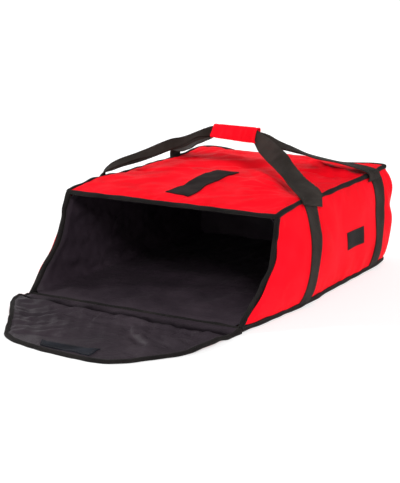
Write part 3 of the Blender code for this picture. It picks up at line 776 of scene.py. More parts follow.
def tunnel_points():
    """Points of the tunnel: one line from the mouth to the back for each mark of its section."""
    marks = tunnel_section()
    core_x, share, side, rise = (marks[:, k, None] for k in range(4))
    along = np.linspace(0.0, 1.0, TUNNEL_STEPS)[None, :]
    low = WALL + INNER_ROUND
    stop = BACK_Y - WALL + 0.0005
    level = low + share * (FRONT_HEIGHT - WALL - 2 * INNER_ROUND) + rise * INNER_ROUND
    turned = np.where(side < 0, mouth_front(level, -1), mouth_front(level, 1))
    front = np.where(level > FRONT_HEIGHT - WALL - 0.001, TOP_FRONT_Y, turned) + 0.004
    front = np.where(level < WALL + 0.001, FRONT_Y + 0.005, front)
    y = front + along * (stop - front)
    x = core_x + side * INNER_ROUND
    roof = rim_level(x, y) - WALL - INNER_ROUND
    z = low + share * (roof - low) + rise * INNER_ROUND
    tuck = 0.0042 * (1 - ease(y - front, 0.001, 0.01))
    away = ease(y - front, 0.004, 0.03)
    crumple = 0.0022 * ripple(x + 2 * z, y, 0.075, 51) + 0.0009 * ripple(x - z, y, 0.03, 52)
    sag = -0.004 * hump((core_x + HALF_WIDTH) / (2 * HALF_WIDTH)) * (rise > 0.9) * hump(along)
    inward = away * (crumple - 0.0012)
    x = x + side * (inward + tuck + 0.003 * hump(share) * away)
    x = x - mouth_bow(level, -1) * bell(y - front, 0.1) * (side < 0)
    z = z + rise * (inward + tuck) + sag
    z = np.maximum(z, WALL - 0.0004 - tuck)
    return np.stack([x, y, z], axis=2)


tunnel = tunnel_points()
outside = tunnel + facing(tunnel) * LINING
inside_out = np.concatenate([tunnel, outside[:, ::-1]], axis=1)
lining_skin = ring_body("lining_skin", inside_out, DARK, loop=True)


def inner_back_points():
    """Points of the lining at the back of the compartment."""
    reach = HALF_WIDTH - WALL - 0.001
    x = np.linspace(reach, -reach, 100)[None, :]
    rows = np.linspace(0.0, 1.0, 42)[:, None]
    z = WALL + rows * (rim_level(x, BACK_Y - WALL) - 2 * WALL)
    free = np.sqrt(np.abs(hump(rows) * hump((x + reach) / (2 * reach))))
    y = BACK_Y - WALL - 0.001 + free * (0.0015 + 0.0016 * ripple(x, z, 0.07, 61))
    return np.stack([x + 0 * y, y, z + 0 * y], axis=2)


lining_end = cloth_sheet("lining_end", inner_back_points(), LINING, DARK)


# Bindings: soft folded tape over every edge


def rounded_section(width, height, radius, count=5):
    """Outline of a rounded rectangle about its middle, starting behind its lower left corner."""
    points = []
    for corner_x, corner_y, start in ((1, -1, -90), (1, 1, 0), (-1, 1, 90), (-1, -1, 180)):
        centre = (corner_x * (width / 2 - radius), corner_y * (height / 2 - radius))
        for angle in np.radians(np.linspace(start, start + 90, count)):
            points.append((centre[0] + radius * math.cos(angle), centre[1] + radius * math.sin(angle)))
    return np.array(points)


def path_frames(path, up, loop):
    """Sideways and upward unit vectors at each point of a path."""
    path = np.asarray(path, float)
    if loop:
        ahead = np.roll(path, -1, axis=0) - np.roll(path, 1, axis=0)
    else:
        ahead = np.gradient(path, axis=0)
    ahead /= np.linalg.norm(ahead, axis=1, keepdims=True)
    up = np.broadcast_to(np.asarray(up, float), path.shape)
    side = np.cross(ahead, up)
    side /= np.linalg.norm(side, axis=1, keepdims=True)
    return side, np.cross(side, ahead)


def binding_tape(name, path, width, height, radius, wave, seed, up=(0, 0, 1), loop=False):
    """Folded tape along a path: a rounded section that wavers a little."""
    path = np.asarray(path, float)
    side, rise = path_frames(path, up, loop)
    along = travelled(path)
    total = along[-1] + (np.linalg.norm(path[0] - path[-1]) if loop else 0.0)
    if loop:
        turn = along / total * 2 * math.pi
        reach = total / (2 * math.pi)
        u, v = reach * np.cos(turn), reach * np.sin(turn)
    else:
        u, v = along, along * 0
    wander = wave * ripple(u, v, 0.075, seed)
    lift = wave * ripple(u, v, 0.06, seed + 1)
    fat = 1 + 0.09 * ripple(u, v, 0.05, seed + 2)
    section = rounded_section(width, height, radius)
    rings = []
    for place in range(len(path)):
        middle = path[place] + side[place] * wander[place] + rise[place] * lift[place]
        ring = [middle + side[place] * (a * fat[place]) + rise[place] * (b * fat[place]) for a, b in section]
        rings.append(ring)
    return ring_body(name, rings, EDGE, loop=loop)


def rounded_loop(half, front, rear, front_round, rear_round, step=0.004):
    """A rectangle in plan with rounded corners, as an open list of points without the last."""
    points = []
    corners = (
        (half - front_round, front + front_round, front_round, -90),
        (half - rear_round, rear - rear_round, rear_round, 0),
        (-half + rear_round, rear - rear_round, rear_round, 90),
        (-half + front_round, front + front_round, front_round, 180),
    )
    for x, y, radius, start in corners:
        for angle in np.radians(np.linspace(start, start + 90, 7)):
            points.append((x + radius * math.cos(angle), y + radius * math.sin(angle)))
    dense = []
    for here, there in zip(points, points[1:] + points[:1]):
        count = max(1, round(math.dist(here, there) / step))
        for part in range(count):
            share = part / count
            dense.append((here[0] + (there[0] - here[0]) * share, here[1] + (there[1] - here[1]) * share))
    return dense


RIM_INSET = 0.0034
rim_plan = rounded_loop(HALF_WIDTH - RIM_INSET, TOP_FRONT_Y + RIM_INSET, BACK_Y - RIM_INSET, 0.004, 0.01)
rim_path = [
    (x * (1 + float(corner_lean(y)) / HALF_WIDTH * (x < 0)), y, float(rim_level(x, y)) - RIM_INSET)
    for x, y in rim_plan
]
rim_tape = binding_tape("rim_binding", rim_path, 0.0078, 0.0078, 0.003, 0.0006, 71, loop=True)
base_plan = rounded_loop(HALF_WIDTH - 0.004, FRONT_Y + 0.0046, BACK_Y - 0.004, 0.006, 0.01)
base_path = [(x * (1 + float(base_bow(y)) / HALF_WIDTH), y, 0.0052) for x, y in base_plan]
base_tape = binding_tape("base_binding", base_path, 0.0092, 0.0092, 0.0034, 0.0004, 81, loop=True)


def mouth_path(sign):
    """Middle of the binding up a side's front edge."""
    heights = np.linspace(0.006, FRONT_HEIGHT - 0.0045, 60)
    path = []
    for z in heights:
        share = z / FRONT_HEIGHT
        y = float(mouth_front(z, sign)) + 0.0042 + 0.001 * float(ripple(z, 0.0, 0.034, 93 + sign))
        x = HALF_WIDTH - 0.0044 + 0.0016 * float(ripple(z, 0.0, 0.09, 91 + (sign > 0)))
        x += float(mouth_bow(z, sign)) + 0.6 * float(base_bow(FRONT_Y + 0.03)) * max(0.0, 1 - share * 3)
        path.append((sign * (x - 0.001 * hump(share)), y, z))
    return path


mouth_tapes = []
for side_name, sign in (("right", 1), ("left", -1)):
    name = f"mouth_binding_{side_name}_tape"
    tape = binding_tape(name, mouth_path(sign), 0.0074, 0.0086, 0.0028, 0.0007, 95 + sign, up=(1, 0, 0))
    mouth_tapes.append(tape)


# Webbing down the sides


def side_webbing(name, strap, sign, seed, slant):
    """A strip of webbing laid on a side, from under the rim binding to the base binding."""
    middle = strap_middle(strap)
    half = (strap[1][1] - strap[0][1]) / 2
    points = []
    for share in np.linspace(0.0, 1.0, 48):
        line = []
        slip = slant * (1 - share) ** 2
        for across in np.linspace(-1.0, 1.0, 13):
            y = middle - slip + half * 1.05 * across * (1 + 0.015 * float(ripple(share, 0.0, 0.4, seed)))
            y += 0.0008 * float(ripple(share, 0.3, 0.35, seed + 1))
            z = 0.0062 + share * (float(rim_level(HALF_WIDTH, y)) - 0.0125)
            line.append(on_side(y, z, sign, WEBBING + 0.0002))
        points.append(line)
    points = blur(np.array(points), 3)
    if sign < 0:
        points = points[:, ::-1]
    return cloth_sheet(name, points, WEBBING, STRAP)


side_straps = {}
for place, strap in (("front", FRONT_STRAP), ("rear", REAR_STRAP)):
    for side_name, sign in (("right", 1), ("left", -1)):
        key = f"{place}_{side_name}"
        slant = 0.042 if place == "front" else 0.009
        side_straps[key] = side_webbing(f"side_webbing_{key}", strap, sign, 101 + 7 * sign, slant)


# Handle loops: webbing sewn over the rim, folded in half where it enters the sleeve

LEG_STEPS = 84
LEG_COLUMNS = 27
LEG_WIDTH = 0.048
FOLD_ROUND = 0.0013
SLEEVE_HALF = (GRIP_HIGH[0] - GRIP_LOW[0]) / 2
# Each leg: its hem's two corners on the side, as place along the bag and drop under the rim; then
# its lower and its upper outline from the rim to the sleeve
LEGS = {
    "front_right": (
        ((-835, 80), (-165, 215)),
        (
            (2136, -845, 1785), (2075, -800, 1828), (1678, -427, 1930), (1297, -68, 2055), (740, 450, 2198),
            (500, 630, 2302), (378, 722, 2400),
        ),
        (
            (2180, -200, 1780), (2178, -205, 1828), (2112, -180, 1898), (1979, -104, 1945), (1771, 14, 2022),
            (1600, 110, 2111), (1440, 200, 2203), (1218, 329, 2358), (938, 489, 2475), (681, 635, 2565),
            (378, 800, 2638),
        ),
    ),
    "front_left": (
        ((-660, 130), (-360, 150)),
        (
            (-2150, -655, 1760), (-2110, -625, 1835), (-1994, -520, 1922), (-1723, -259, 2049),
            (-1450, 2, 2140), (-1177, 264, 2246), (-1000, 415, 2334), (-901, 500, 2406), (-799, 560, 2472),
            (-680, 630, 2492), (-560, 700, 2496),
        ),
        (
            (-2200, -400, 1760), (-2190, -430, 1870), (-2091, -376, 1988), (-1999, -302, 2058),
            (-1873, -200, 2122), (-1665, -31, 2203), (-1436, 154, 2326), (-1218, 330, 2432),
            (-1031, 482, 2472), (-822, 640, 2576), (-560, 790, 2678),
        ),
    ),
    "rear_right": (
        ((1880, 130), (2310, 150)),
        (
            (2165, 1890, 1785), (2135, 1895, 1862), (2030, 1865, 1915), (1921, 1792, 1960), (1701, 1650, 2036),
            (1461, 1496, 2094), (1221, 1342, 2166), (996, 1197, 2246), (743, 1034, 2335), (378, 790, 2440),
        ),
        (
            (2190, 2300, 1790), (2165, 2290, 1868), (2020, 2262, 1918), (1765, 2202, 1963), (1508, 2073, 2004),
            (1268, 1908, 2056), (1044, 1708, 2149), (873, 1448, 2269), (740, 1270, 2380), (618, 1106, 2485),
            (511, 961, 2578), (378, 850, 2632),
        ),
    ),
    "rear_left": (
        ((1880, 130), (2310, 150)),
        (
            (-2165, 1890, 1785), (-2172, 1890, 1890), (-2155, 1885, 1942), (-2080, 1860, 1960),
            (-1972, 1784, 1955), (-1805, 1662, 1980), (-1600, 1512, 2034), (-1398, 1365, 2107),
            (-1200, 1221, 2190), (-1006, 1079, 2272), (-815, 939, 2355), (-560, 770, 2452),
        ),
        (
            (-2190, 2300, 1790), (-2195, 2300, 1920), (-2170, 2295, 2040), (-2040, 2240, 2105),
            (-1850, 2110, 2170), (-1650, 1940, 2235), (-1450, 1760, 2300), (-1250, 1570, 2368),
            (-1050, 1370, 2440), (-850, 1160, 2525), (-700, 1000, 2595), (-560, 880, 2655),
        ),
    ),
}
# The sleeve's shift along the bag and how much it is cut short; the webbing inside it: half its
# height, how far in it is led, and how far forward each loop lies
SLEEVE_SHIFT = 0.003
SLEEVE_TRIM = 0.0015
INSIDE_HALF = 0.0102
INSIDE_REACHES = (0.006, 0.014)
FRONT_LOOP_DEPTH = -0.0036
REAR_LOOP_DEPTH = 0.001


def lean(point):
    """The sleeve hangs a little askew: top back, left end slimmer, right end lower and further back."""
    x, y, z = point
    off = x - GRIP_X
    height = (z - GRIP_Z) * (0.84 + off * 1.46)
    return (x, y + (z - GRIP_Z) * 0.5 + off * 0.05, GRIP_Z + height - off * 0.037)


def through(knots, count):
    """Smooth curve through knots, with a number of steps between each two."""
    knots = [np.asarray(knot, float) for knot in knots]
    ends = [2 * knots[0] - knots[1]] + knots + [2 * knots[-1] - knots[-2]]
    points = []
    for number in range(1, len(ends) - 2):
        before, here, there, after = ends[number - 1:number + 3]
        for step in range(count):
            t = step / count
            points.append(0.5 * (
                2 * here + (there - before) * t + (2 * before - 5 * here + 4 * there - after) * t * t
                + (3 * here - before - 3 * there + after) * t ** 3
            ))
    points.append(knots[-1])
    return points


def evenly(points, count):
    """The same line as a number of points at even distances."""
    points = np.asarray(points, float)
    along = travelled(points)
    places = np.linspace(0.0, along[-1], count)
    return np.stack([np.interp(places, along, points[:, axis]) for axis in range(3)], axis=1)


def leg_outline(knots, corner, sign, depth, level):
    """One outline of a leg from its hem on the side into the sleeve, at a depth and level in there."""
    y, drop = corner
    rim = float(rim_level(HALF_WIDTH, y))
    hem = on_side(y, rim - drop, sign, 0.0036)
    hem[0] = sign * max(abs(hem[0]), HALF_WIDTH + 0.0034)
    mouth = GRIP_X + SLEEVE_SHIFT + sign * (SLEEVE_HALF - SLEEVE_TRIM)
    inside = [lean((mouth - sign * reach, GRIP_Y + depth, GRIP_Z + level)) for reach in INSIDE_REACHES]
    return smooth_path(evenly(through([hem, *knots, *inside], 8), LEG_STEPS), 2)


def smooth_path(points, passes=3):
    """A path with its kinks taken out and its ends left in place."""
    points = np.array(points)
    for _ in range(passes):
        points[1:-1] = points[1:-1] * 0.5 + (points[:-2] + points[2:]) * 0.25
    return points


def leg_section(near, flank, behind, seen, hidden):
    """Points across the webbing: its seen flank, a tight turn, and the half folded back behind it."""
    turn = FOLD_ROUND * min(1.0, hidden / 0.004)
    straight = seen - turn
    bend = math.pi * turn
    whole = straight + max(hidden, 0.0)
    line = []
    for place in np.linspace(0.0, whole, LEG_COLUMNS):
        if place <= straight:
            spot = near + flank * place
        elif place <= straight + bend:
            angle = (place - straight) / max(turn, 1e-9)
            spot = near + flank * (straight + turn * math.sin(angle)) + behind * (turn * (1 - math.cos(angle)))
        else:
            spot = near + flank * (straight - (place - straight - bend)) + behind * (2 * turn)
        line.append(spot)
    return line


def handle_leg(key):
    """One free stretch of handle webbing with its sewn end."""
    sign = 1 if key.endswith("right") else -1
    hem, near_knots, far_knots = tenths(LEGS[key])
    depth = FRONT_LOOP_DEPTH if key.startswith("front") else REAR_LOOP_DEPTH
    near = leg_outline(near_knots, hem[0], sign, depth, -INSIDE_HALF)
    far = leg_outline(far_knots, hem[1], sign, depth, INSIDE_HALF)
    ahead = np.gradient((near + far) / 2, axis=0)
    ahead /= np.linalg.norm(ahead, axis=1, keepdims=True)
    seen = np.linalg.norm(far - near, axis=1)
    flank = (far - near) / seen[:, None]
    square = np.linalg.norm(np.cross(ahead, far - near), axis=1)
    hidden = np.clip(LEG_WIDTH - square, 0.0, 0.0235) * ease(np.linspace(0.0, 1.0, LEG_STEPS), 0.04, 0.12)
    for _ in range(6):
        hidden[1:-1] = hidden[1:-1] * 0.5 + (hidden[:-2] + hidden[2:]) * 0.25
    behind = np.cross(ahead, flank)
    behind /= np.linalg.norm(behind, axis=1, keepdims=True)
    if behind[-1][1] < 0:
        behind = -behind
    points = []
    for place in range(LEG_STEPS):
        points.append(leg_section(near[place], flank[place], behind[place], seen[place], hidden[place]))
    points = np.array(points)
    along = np.linspace(0.0, 0.25, LEG_STEPS)[:, None]
    across = np.linspace(0.0, 0.05, LEG_COLUMNS)[None, :]
    free = ease(along, 0.05, 0.09) * (1 - ease(along, 0.2, 0.23))
    waver = 0.001 * ripple(along, across, 0.07, 131 + len(key)) * free
    points = points + behind[:, None, :] * waver[:, :, None]
    thick = facing(points) * (WEBBING / 2)
    rings = np.concatenate([points + thick, (points - thick)[:, ::-1]], axis=1)
    outer = thick * math.copysign(1.0, thick[3, 13, 0] * sign)
    hem_seams.append(border(points + outer, (slice(1, 6), slice(2, 25)), outer))
    piece = ring_body(f"handle_webbing_{key}", rings, STRAP)
    dress(piece, None, (f"handle_end_{key}", f"handle_leg_{key}"))
    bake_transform(piece)


hem_seams = []
for key in LEGS:
    handle_leg(key)


# Sleeve round both loops, and the folded webbing inside it

SLEEVE_SQUARE = 0.62
SLEEVE_DEPTH = 0.0078
SLEEVE_HEIGHT = 0.015
SLEEVE_WALL = 0.0015


def sleeve_half(name, turn, seed):
    """Half of the sleeve: a wrinkled C of cloth along the grip."""
    rings = []
    for share in np.linspace(0.0, 1.0, 60):
        pinch = 1 - 0.05 * (bell(share - 0.07, 0.035) + bell(share - 0.93, 0.035))
        ring = []
        for shrink in (0.0, SLEEVE_WALL):
            line = []
            for angle in np.linspace(math.pi / 2, -math.pi / 2, 26):
                depth = (SLEEVE_DEPTH - shrink) * abs(math.cos(angle)) ** SLEEVE_SQUARE
                height = (SLEEVE_HEIGHT - shrink) * math.copysign(abs(math.sin(angle)) ** SLEEVE_SQUARE, angle)
                soft = 0.001 * float(ripple(share * 0.02, angle * 0.01, 0.011, seed))
                soft += 0.0005 * float(ripple(share * 0.09, angle * 0.006, 0.013, seed + 1))
                soft *= math.sqrt(abs(math.cos(angle)))
                y = turn * max(depth * pinch + soft, 0.00015)
                x = GRIP_X + SLEEVE_SHIFT + (2 * share - 1) * (SLEEVE_HALF - SLEEVE_TRIM)
                x += 0.001 * float(ripple(angle * 0.02, share, 0.05, seed + 2))
                line.append(lean((x, GRIP_Y + y, GRIP_Z + height * pinch)))
            ring.extend(line if shrink == 0.0 else line[::-1])
        rings.append(ring)
    return ring_body(name, rings, RED)


sleeve_rear = sleeve_half("sleeve_rear", 1, 141)
sleeve_front = sleeve_half("sleeve_front", -1, 145)
dress(sleeve_rear, "grip", ("grip_wrap_rear",))
dress(sleeve_front, "grip_front", ("grip_wrap_front",))


def folded_core(name, turn):
    """The stretch of a loop inside the sleeve, folded in half along its middle."""
    section = rounded_section(0.0033, 0.02, 0.0014)
    rings = []
    for x in np.linspace(GRIP_X - SLEEVE_HALF + 0.018, GRIP_X + SLEEVE_HALF - 0.014, 24):
        shift = 0.0002 * float(ripple(x, 0.0, 0.03, 151 + turn))
        rings.append([lean((x, GRIP_Y + turn * 0.0021 + a + shift, GRIP_Z + b)) for a, b in section])
    piece = ring_body(name, rings, STRAP)
    return dress(piece, "grip", (f"handle_core_{'front' if turn < 0 else 'rear'}",))


folded_core("loop_inside_front", -1)
folded_core("loop_inside_rear", 1)


# Open flap: padded cloth on the floor, rumpled as it fell

# Edges of the flap, each point as its place across and its distance from the hem
FLAP_LEFT = tenths((
    (-2055, 0), (-2045, 220), (-1992, 420), (-1902, 620), (-1758, 820), (-1610, 1020), (-1468, 1220),
    (-1338, 1420), (-1214, 1620), (-1098, 1800), (-980, 1970),
))
FLAP_END = tenths((
    (-980, 1970), (-800, 2110), (-590, 2210), (-320, 2270), (0, 2325), (300, 2365), (600, 2385), (880, 2385),
    (1080, 2365), (1240, 2280), (1350, 2180), (1450, 2060),
))
FLAP_RIGHT = tenths((
    (2060, 0), (2045, 300), (2010, 550), (1985, 900), (1965, 1120), (1925, 1320), (1840, 1500), (1730, 1660),
    (1630, 1800), (1530, 1940), (1450, 2060),
))
# Folds of the flap, and its sewn crease: place across and distance from the hem
FLAP_FOLDS = tenths((
    (340, 580, 780, 1200, 70, -44), (680, 1080, 1340, 1580, 70, -46), (840, 980, 1340, 1460, 80, 20),
    (960, 1010, 1240, 1010, 30, 22), (980, 1070, 1500, 1270, 40, -34), (1400, 1210, 1920, 1480, 50, -36),
    (1080, 840, 1860, 1220, 80, 30), (1310, 460, 1340, 860, 30, -22), (1680, 360, 1530, 700, 32, -24),
    (780, 2070, 1120, 1940, 34, -24), (1180, 2020, 1560, 2100, 34, 24), (-1320, 1220, -960, 500, 34, -22),
    (-1080, 1680, -640, 1120, 36, -22), (-840, 1860, -60, 1740, 50, -30), (-1200, 1400, -780, 700, 80, 30),
    (-320, 780, -320, 380, 34, -22), (-660, 1900, 140, 1120, 100, 36), (-1000, 600, 100, 800, 100, -24),
    (500, 2140, 1300, 1920, 80, 30),
))
FLAP_CREASE = tenths((
    (-2100, 340), (-1550, 230), (-1130, 250), (-400, 280), (340, 290), (660, 340), (1220, 420), (1600, 360),
    (2100, 290),
))
FLAP_ROWS = 110
FLAP_COLUMNS = 164
ROOT_ROWS = 14


def edge_line(knots, count):
    """An edge of the flap as evenly spaced points in plan."""
    flat = [(x, d, 0.0) for x, d in knots]
    return evenly(through(flat, 10), count)[:, :2]


def flap_plan():
    """Places across and distances from the hem, for a grid that fills the four edges."""
    left = edge_line(FLAP_LEFT, FLAP_ROWS)
    right = edge_line(FLAP_RIGHT, FLAP_ROWS)
    end = edge_line(FLAP_END, FLAP_COLUMNS)
    hem = np.linspace(left[0], right[0], FLAP_COLUMNS)
    u = np.linspace(0.0, 1.0, FLAP_COLUMNS)[None, :, None]
    v = np.linspace(0.0, 1.0, FLAP_ROWS)[:, None, None]
    across = (1 - u) * left[:, None] + u * right[:, None]
    along = (1 - v) * hem[None] + v * end[None]
    corners = (1 - v) * ((1 - u) * left[0] + u * right[0]) + v * ((1 - u) * left[-1] + u * right[-1])
    return across + along - corners


def flap_surface():
    """Grids of the flap's lining on top and its cover beneath."""
    plan = flap_plan()
    x, d = plan[:, :, 0], plan[:, :, 1]
    y = HINGE_Y - d
    from_left = np.linalg.norm(plan - plan[:, :1], axis=2)
    from_right = np.linalg.norm(plan - plan[:, -1:], axis=2)
    from_end = np.linalg.norm(plan - plan[-1:], axis=2)
    inside = np.minimum(np.minimum(from_left, from_right), from_end)
    free = ease(inside, 0.002, 0.018) * ease(d, 0.0, 0.012)
    curl = 0.009 * bell(from_left, 0.026) * ease(d, 0.004, 0.03) * (1 - ease(d, 0.11, 0.19))
    curl = curl + 0.003 * bell(from_right, 0.02) * ease(d, 0.03, 0.06) * (1 - ease(d, 0.1, 0.16))
    past = d - knotted(x, FLAP_CREASE) - 0.0006 * ripple(x, 0 * x, 0.05, 164)
    trough = 0.0016 * bell(past + 0.01, 0.007) - 0.0042 * bell(past, 0.0034) + 0.0026 * bell(past - 0.01, 0.009)
    hem = 0.0035 * (1 - ease(d, 0.0, 0.018))
    soft = 0.0014 * ripple(x, y, 0.055, 161) + 0.0008 * ripple(x, y, 0.024, 162)
    tip = ease(d, 0.165, 0.195)
    crown = (0.002 * (1 - tip) - 0.0012 * tip) * ease(inside, 0.0, 0.05)
    soft = soft * (1 - 0.7 * tip)
    top = FLAP_THICKNESS - 0.001 + hem + curl + free * (crown + soft + trough + creases(x, d, FLAP_FOLDS))
    under = 0.0003 + curl * 0.92 + 0.001 * free * (1 + ripple(x, y, 0.09, 163)) * 0.5
    top = np.maximum(top, under + 0.002)
    return np.stack([x, y, top], axis=2), np.stack([x, y, under], axis=2)


flap_top, flap_under = flap_surface()
held_rows = held_edges(flap_top)
held_rows[:ROOT_ROWS + 2] = True
settled = blur(settle_cloth(flap_top, held_rows, 0.009, 0.4, 0.002), 1)
settled[:, :, 2] = np.maximum(settled[:, :, 2], flap_under[:, :, 2] + 0.002)
flap_top = settled


def flap_painted_shade(points):
    """How much painted shade the lining gets: a painted dark line along its sewn crease, and a weaker painted
    shadow in a strip behind it.
    """
    past = HINGE_Y - points[:, :, 1] - knotted(points[:, :, 0], FLAP_CREASE)
    behind = ease(past, -0.024, -0.004) * (1 - ease(past, -0.001, 0.003))
    return np.clip(bell(past, 0.0062) + 0.4 * behind, 0.0, 1.0)


def bend_piece(piece, part):
    """Bake a flap piece's placement into its mesh, the same way for either part."""
    if part == "root":
        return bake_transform(piece)
    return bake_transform(piece)


for part, cut, nodes in (
    ("root", slice(0, ROOT_ROWS + 1), ("flap_lining", "flap_insulation")),
    ("main", slice(ROOT_ROWS, None), ("tip_lining", "tip_insulation")),
):
    lining = cloth_sheet(f"flap_liner_{part}", flap_top[cut][:, ::-1], LINING, DARK)
    # Painted shade along the crease and in the strip behind it, stored on the lining's seen face only.
    seen = flap_painted_shade(flap_top[cut][:, ::-1])
    mark = lining.data.attributes.new("painted_crease_shade", "FLOAT", "POINT")
    mark.data.foreach_set("value", np.concatenate([seen, seen * 0], axis=1).astype(np.float32).ravel())
    dress(lining, None, nodes)
    bend_piece(lining, part)
    cover = cloth_sheet(f"flap_cover_{part}", flap_under[cut], 0.001, RED)
    dress(cover, None, ("flap_shell",) if part == "root" else ("tip_shell",))
    bend_piece(cover, part)


def flap_binding(name, path_top, path_under, seed):
    """Folded tape round an edge of the flap, as thick as the flap there."""
    middle = (path_top + path_under) / 2
    thick = np.linalg.norm(path_top - path_under, axis=1)
    side, rise = path_frames(middle, (0, 0, 1), False)
    along = travelled(middle)
    wander = 0.0007 * ripple(along, along * 0, 0.04, seed)
    fat = 1 + 0.08 * ripple(along, along * 0, 0.03, seed + 2)
    rings = []
    for place in range(len(middle)):
        section = rounded_section(0.0088 * fat[place], thick[place] + 0.0016, 0.0026)
        spot = middle[place] + side[place] * (wander[place] - 0.0026)
        ring = [spot + side[place] * a + rise[place] * max(b, -middle[place][2] + 0.0001) for a, b in section]
        rings.append(ring)
    return ring_body(name, rings, EDGE)


def edge_paths(grid):
    """Edge of the flap from its right hem round the tip to its left hem."""
    right = grid[:, -1]
    end = grid[-1, ::-1][1:-1]
    left = grid[::-1, 0]
    return right, end, left


right_top, end_top, left_top = edge_paths(flap_top)
right_under, end_under, left_under = edge_paths(flap_under)
root_tapes = []
for name, top, under, nodes, seed in (
    (
        "flap_binding_right_root", right_top[:ROOT_ROWS + 1], right_under[:ROOT_ROWS + 1],
        ("flap_binding_right",), 171,
    ),
    (
        "flap_binding_left_root", left_top[-ROOT_ROWS - 1:], left_under[-ROOT_ROWS - 1:],
        ("flap_binding_left",), 172,
    ),
):
    tape = flap_binding(name, top, under, seed)
    dress(tape, None, nodes)
    bend_piece(tape, "root")
    root_tapes.append(tape)
round_top = np.concatenate([right_top[ROOT_ROWS:], end_top[::4], left_top[:-ROOT_ROWS]])
round_under = np.concatenate([right_under[ROOT_ROWS:], end_under[::4], left_under[:-ROOT_ROWS]])
round_tape = flap_binding("flap_binding_round", smooth_path(round_top), smooth_path(round_under), 175)
dress(round_tape, None, ("tip_binding_right", "tip_binding_left", "tip_binding_end"))
bend_piece(round_tape, "main")


# Tapes and patch

FLAP_TREE = BVHTree.FromPolygons(flap_top.reshape(-1, 3).tolist(), grid_faces(*flap_top.shape[:2]))


def laid_quad(corners, rows, columns, place):
    """Grid of points over four corners in plan, each laid on a surface."""
    a, b, c, d = (np.array(corner) for corner in corners)
    grid = [
        [place((a * (1 - u) + b * u) * (1 - v) + (d * (1 - u) + c * u) * v) for u in np.linspace(0.0, 1.0, columns)]
        for v in np.linspace(0.0, 1.0, rows)
    ]
    return blur(np.array(grid), 2)


def on_flap(spot, above=0.0018):
    """Point on the flap's lining, or a little above it."""
    hit, *_ = FLAP_TREE.ray_cast(Vector((spot[0], spot[1], 0.1)), DOWN)
    height = hit[2] if hit else FLAP_THICKNESS
    return (spot[0], spot[1], height + above)


LOOP_CORNERS = ((-0.032, -0.127), (0.014, -0.127), (0.024, 0.036), (-0.02, 0.034))
loop_points = laid_quad(LOOP_CORNERS, 60, 18, lambda spot: on_top(spot[0], spot[1], 0.0021))
loop_tape = cloth_sheet("loop_tape", loop_points, 0.002, LOOP_NAP)
dress(loop_tape, "bag", ("loop_tape_top",))

HOOK_CORNERS = ((-0.014, -0.519), (0.08, -0.524), (0.078, -0.4905), (-0.028, -0.495))
hook_points = laid_quad(HOOK_CORNERS, 14, 36, on_flap)
hook_tape = cloth_sheet("hook_tape", hook_points, 0.0019, HOOK_NAP)
dress(hook_tape, "flap_tip", ("tip_hook_tape",))

PATCH_LOW, PATCH_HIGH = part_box("label_patch")
PATCH_SHIFT = 0.0035
PATCH_RISE = 0.0014


patch_grid = np.array([
    [on_side(y - PATCH_SHIFT, z, 1, PATCH_RISE) for y in np.linspace(PATCH_LOW[1], PATCH_HIGH[1], 28)]
    for z in np.linspace(PATCH_LOW[2], PATCH_HIGH[2], 14)
])
patch = cloth_sheet("patch_cloth", patch_grid, 0.0012, PATCH_CLOTH)
dress(patch, "bag", ("label_patch",))

# What the main pieces ride on and stand for
dress(side_skin, "bag", ("shell_right", "shell_left", "shell_back"))
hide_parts("insulation_right", "insulation_left", "insulation_back")
dress(top_skin, "bag", ("shell_top", "insulation_top"))
dress(base_skin, "bag", ("shell_base", "insulation_base"))
dress(lining_skin, "bag", ("lining_base", "lining_top", "lining_right", "lining_left"))
dress(lining_end, "bag", ("lining_back",))
for tape, edge in ((rim_tape, "rim"), (base_tape, "base")):
    nodes = tuple(f"{edge}_binding_{side}" for side in ("front", "back", "right", "left"))
    dress(tape, "bag", nodes)
for tape, side_name in zip(mouth_tapes, ("right", "left")):
    dress(tape, "bag", (f"mouth_binding_{side_name}",))
for key, piece in side_straps.items():
    dress(piece, "bag", (f"side_strap_{key}",))


# Stitching: one length of thread set along every seam by Geometry Nodes

STITCH_INPUTS = (
    ("Pitch", "NodeSocketFloat", 0.0048),
    ("Stitch Length", "NodeSocketFloat", 0.0031),
    ("Thread Width", "NodeSocketFloat", 0.0007),
    ("Shortest", "NodeSocketFloat", 0.88),
    ("Longest", "NodeSocketFloat", 1.08),
    ("Seed", "NodeSocketInt", 7),
    ("Thread", "NodeSocketMaterial", None),
)


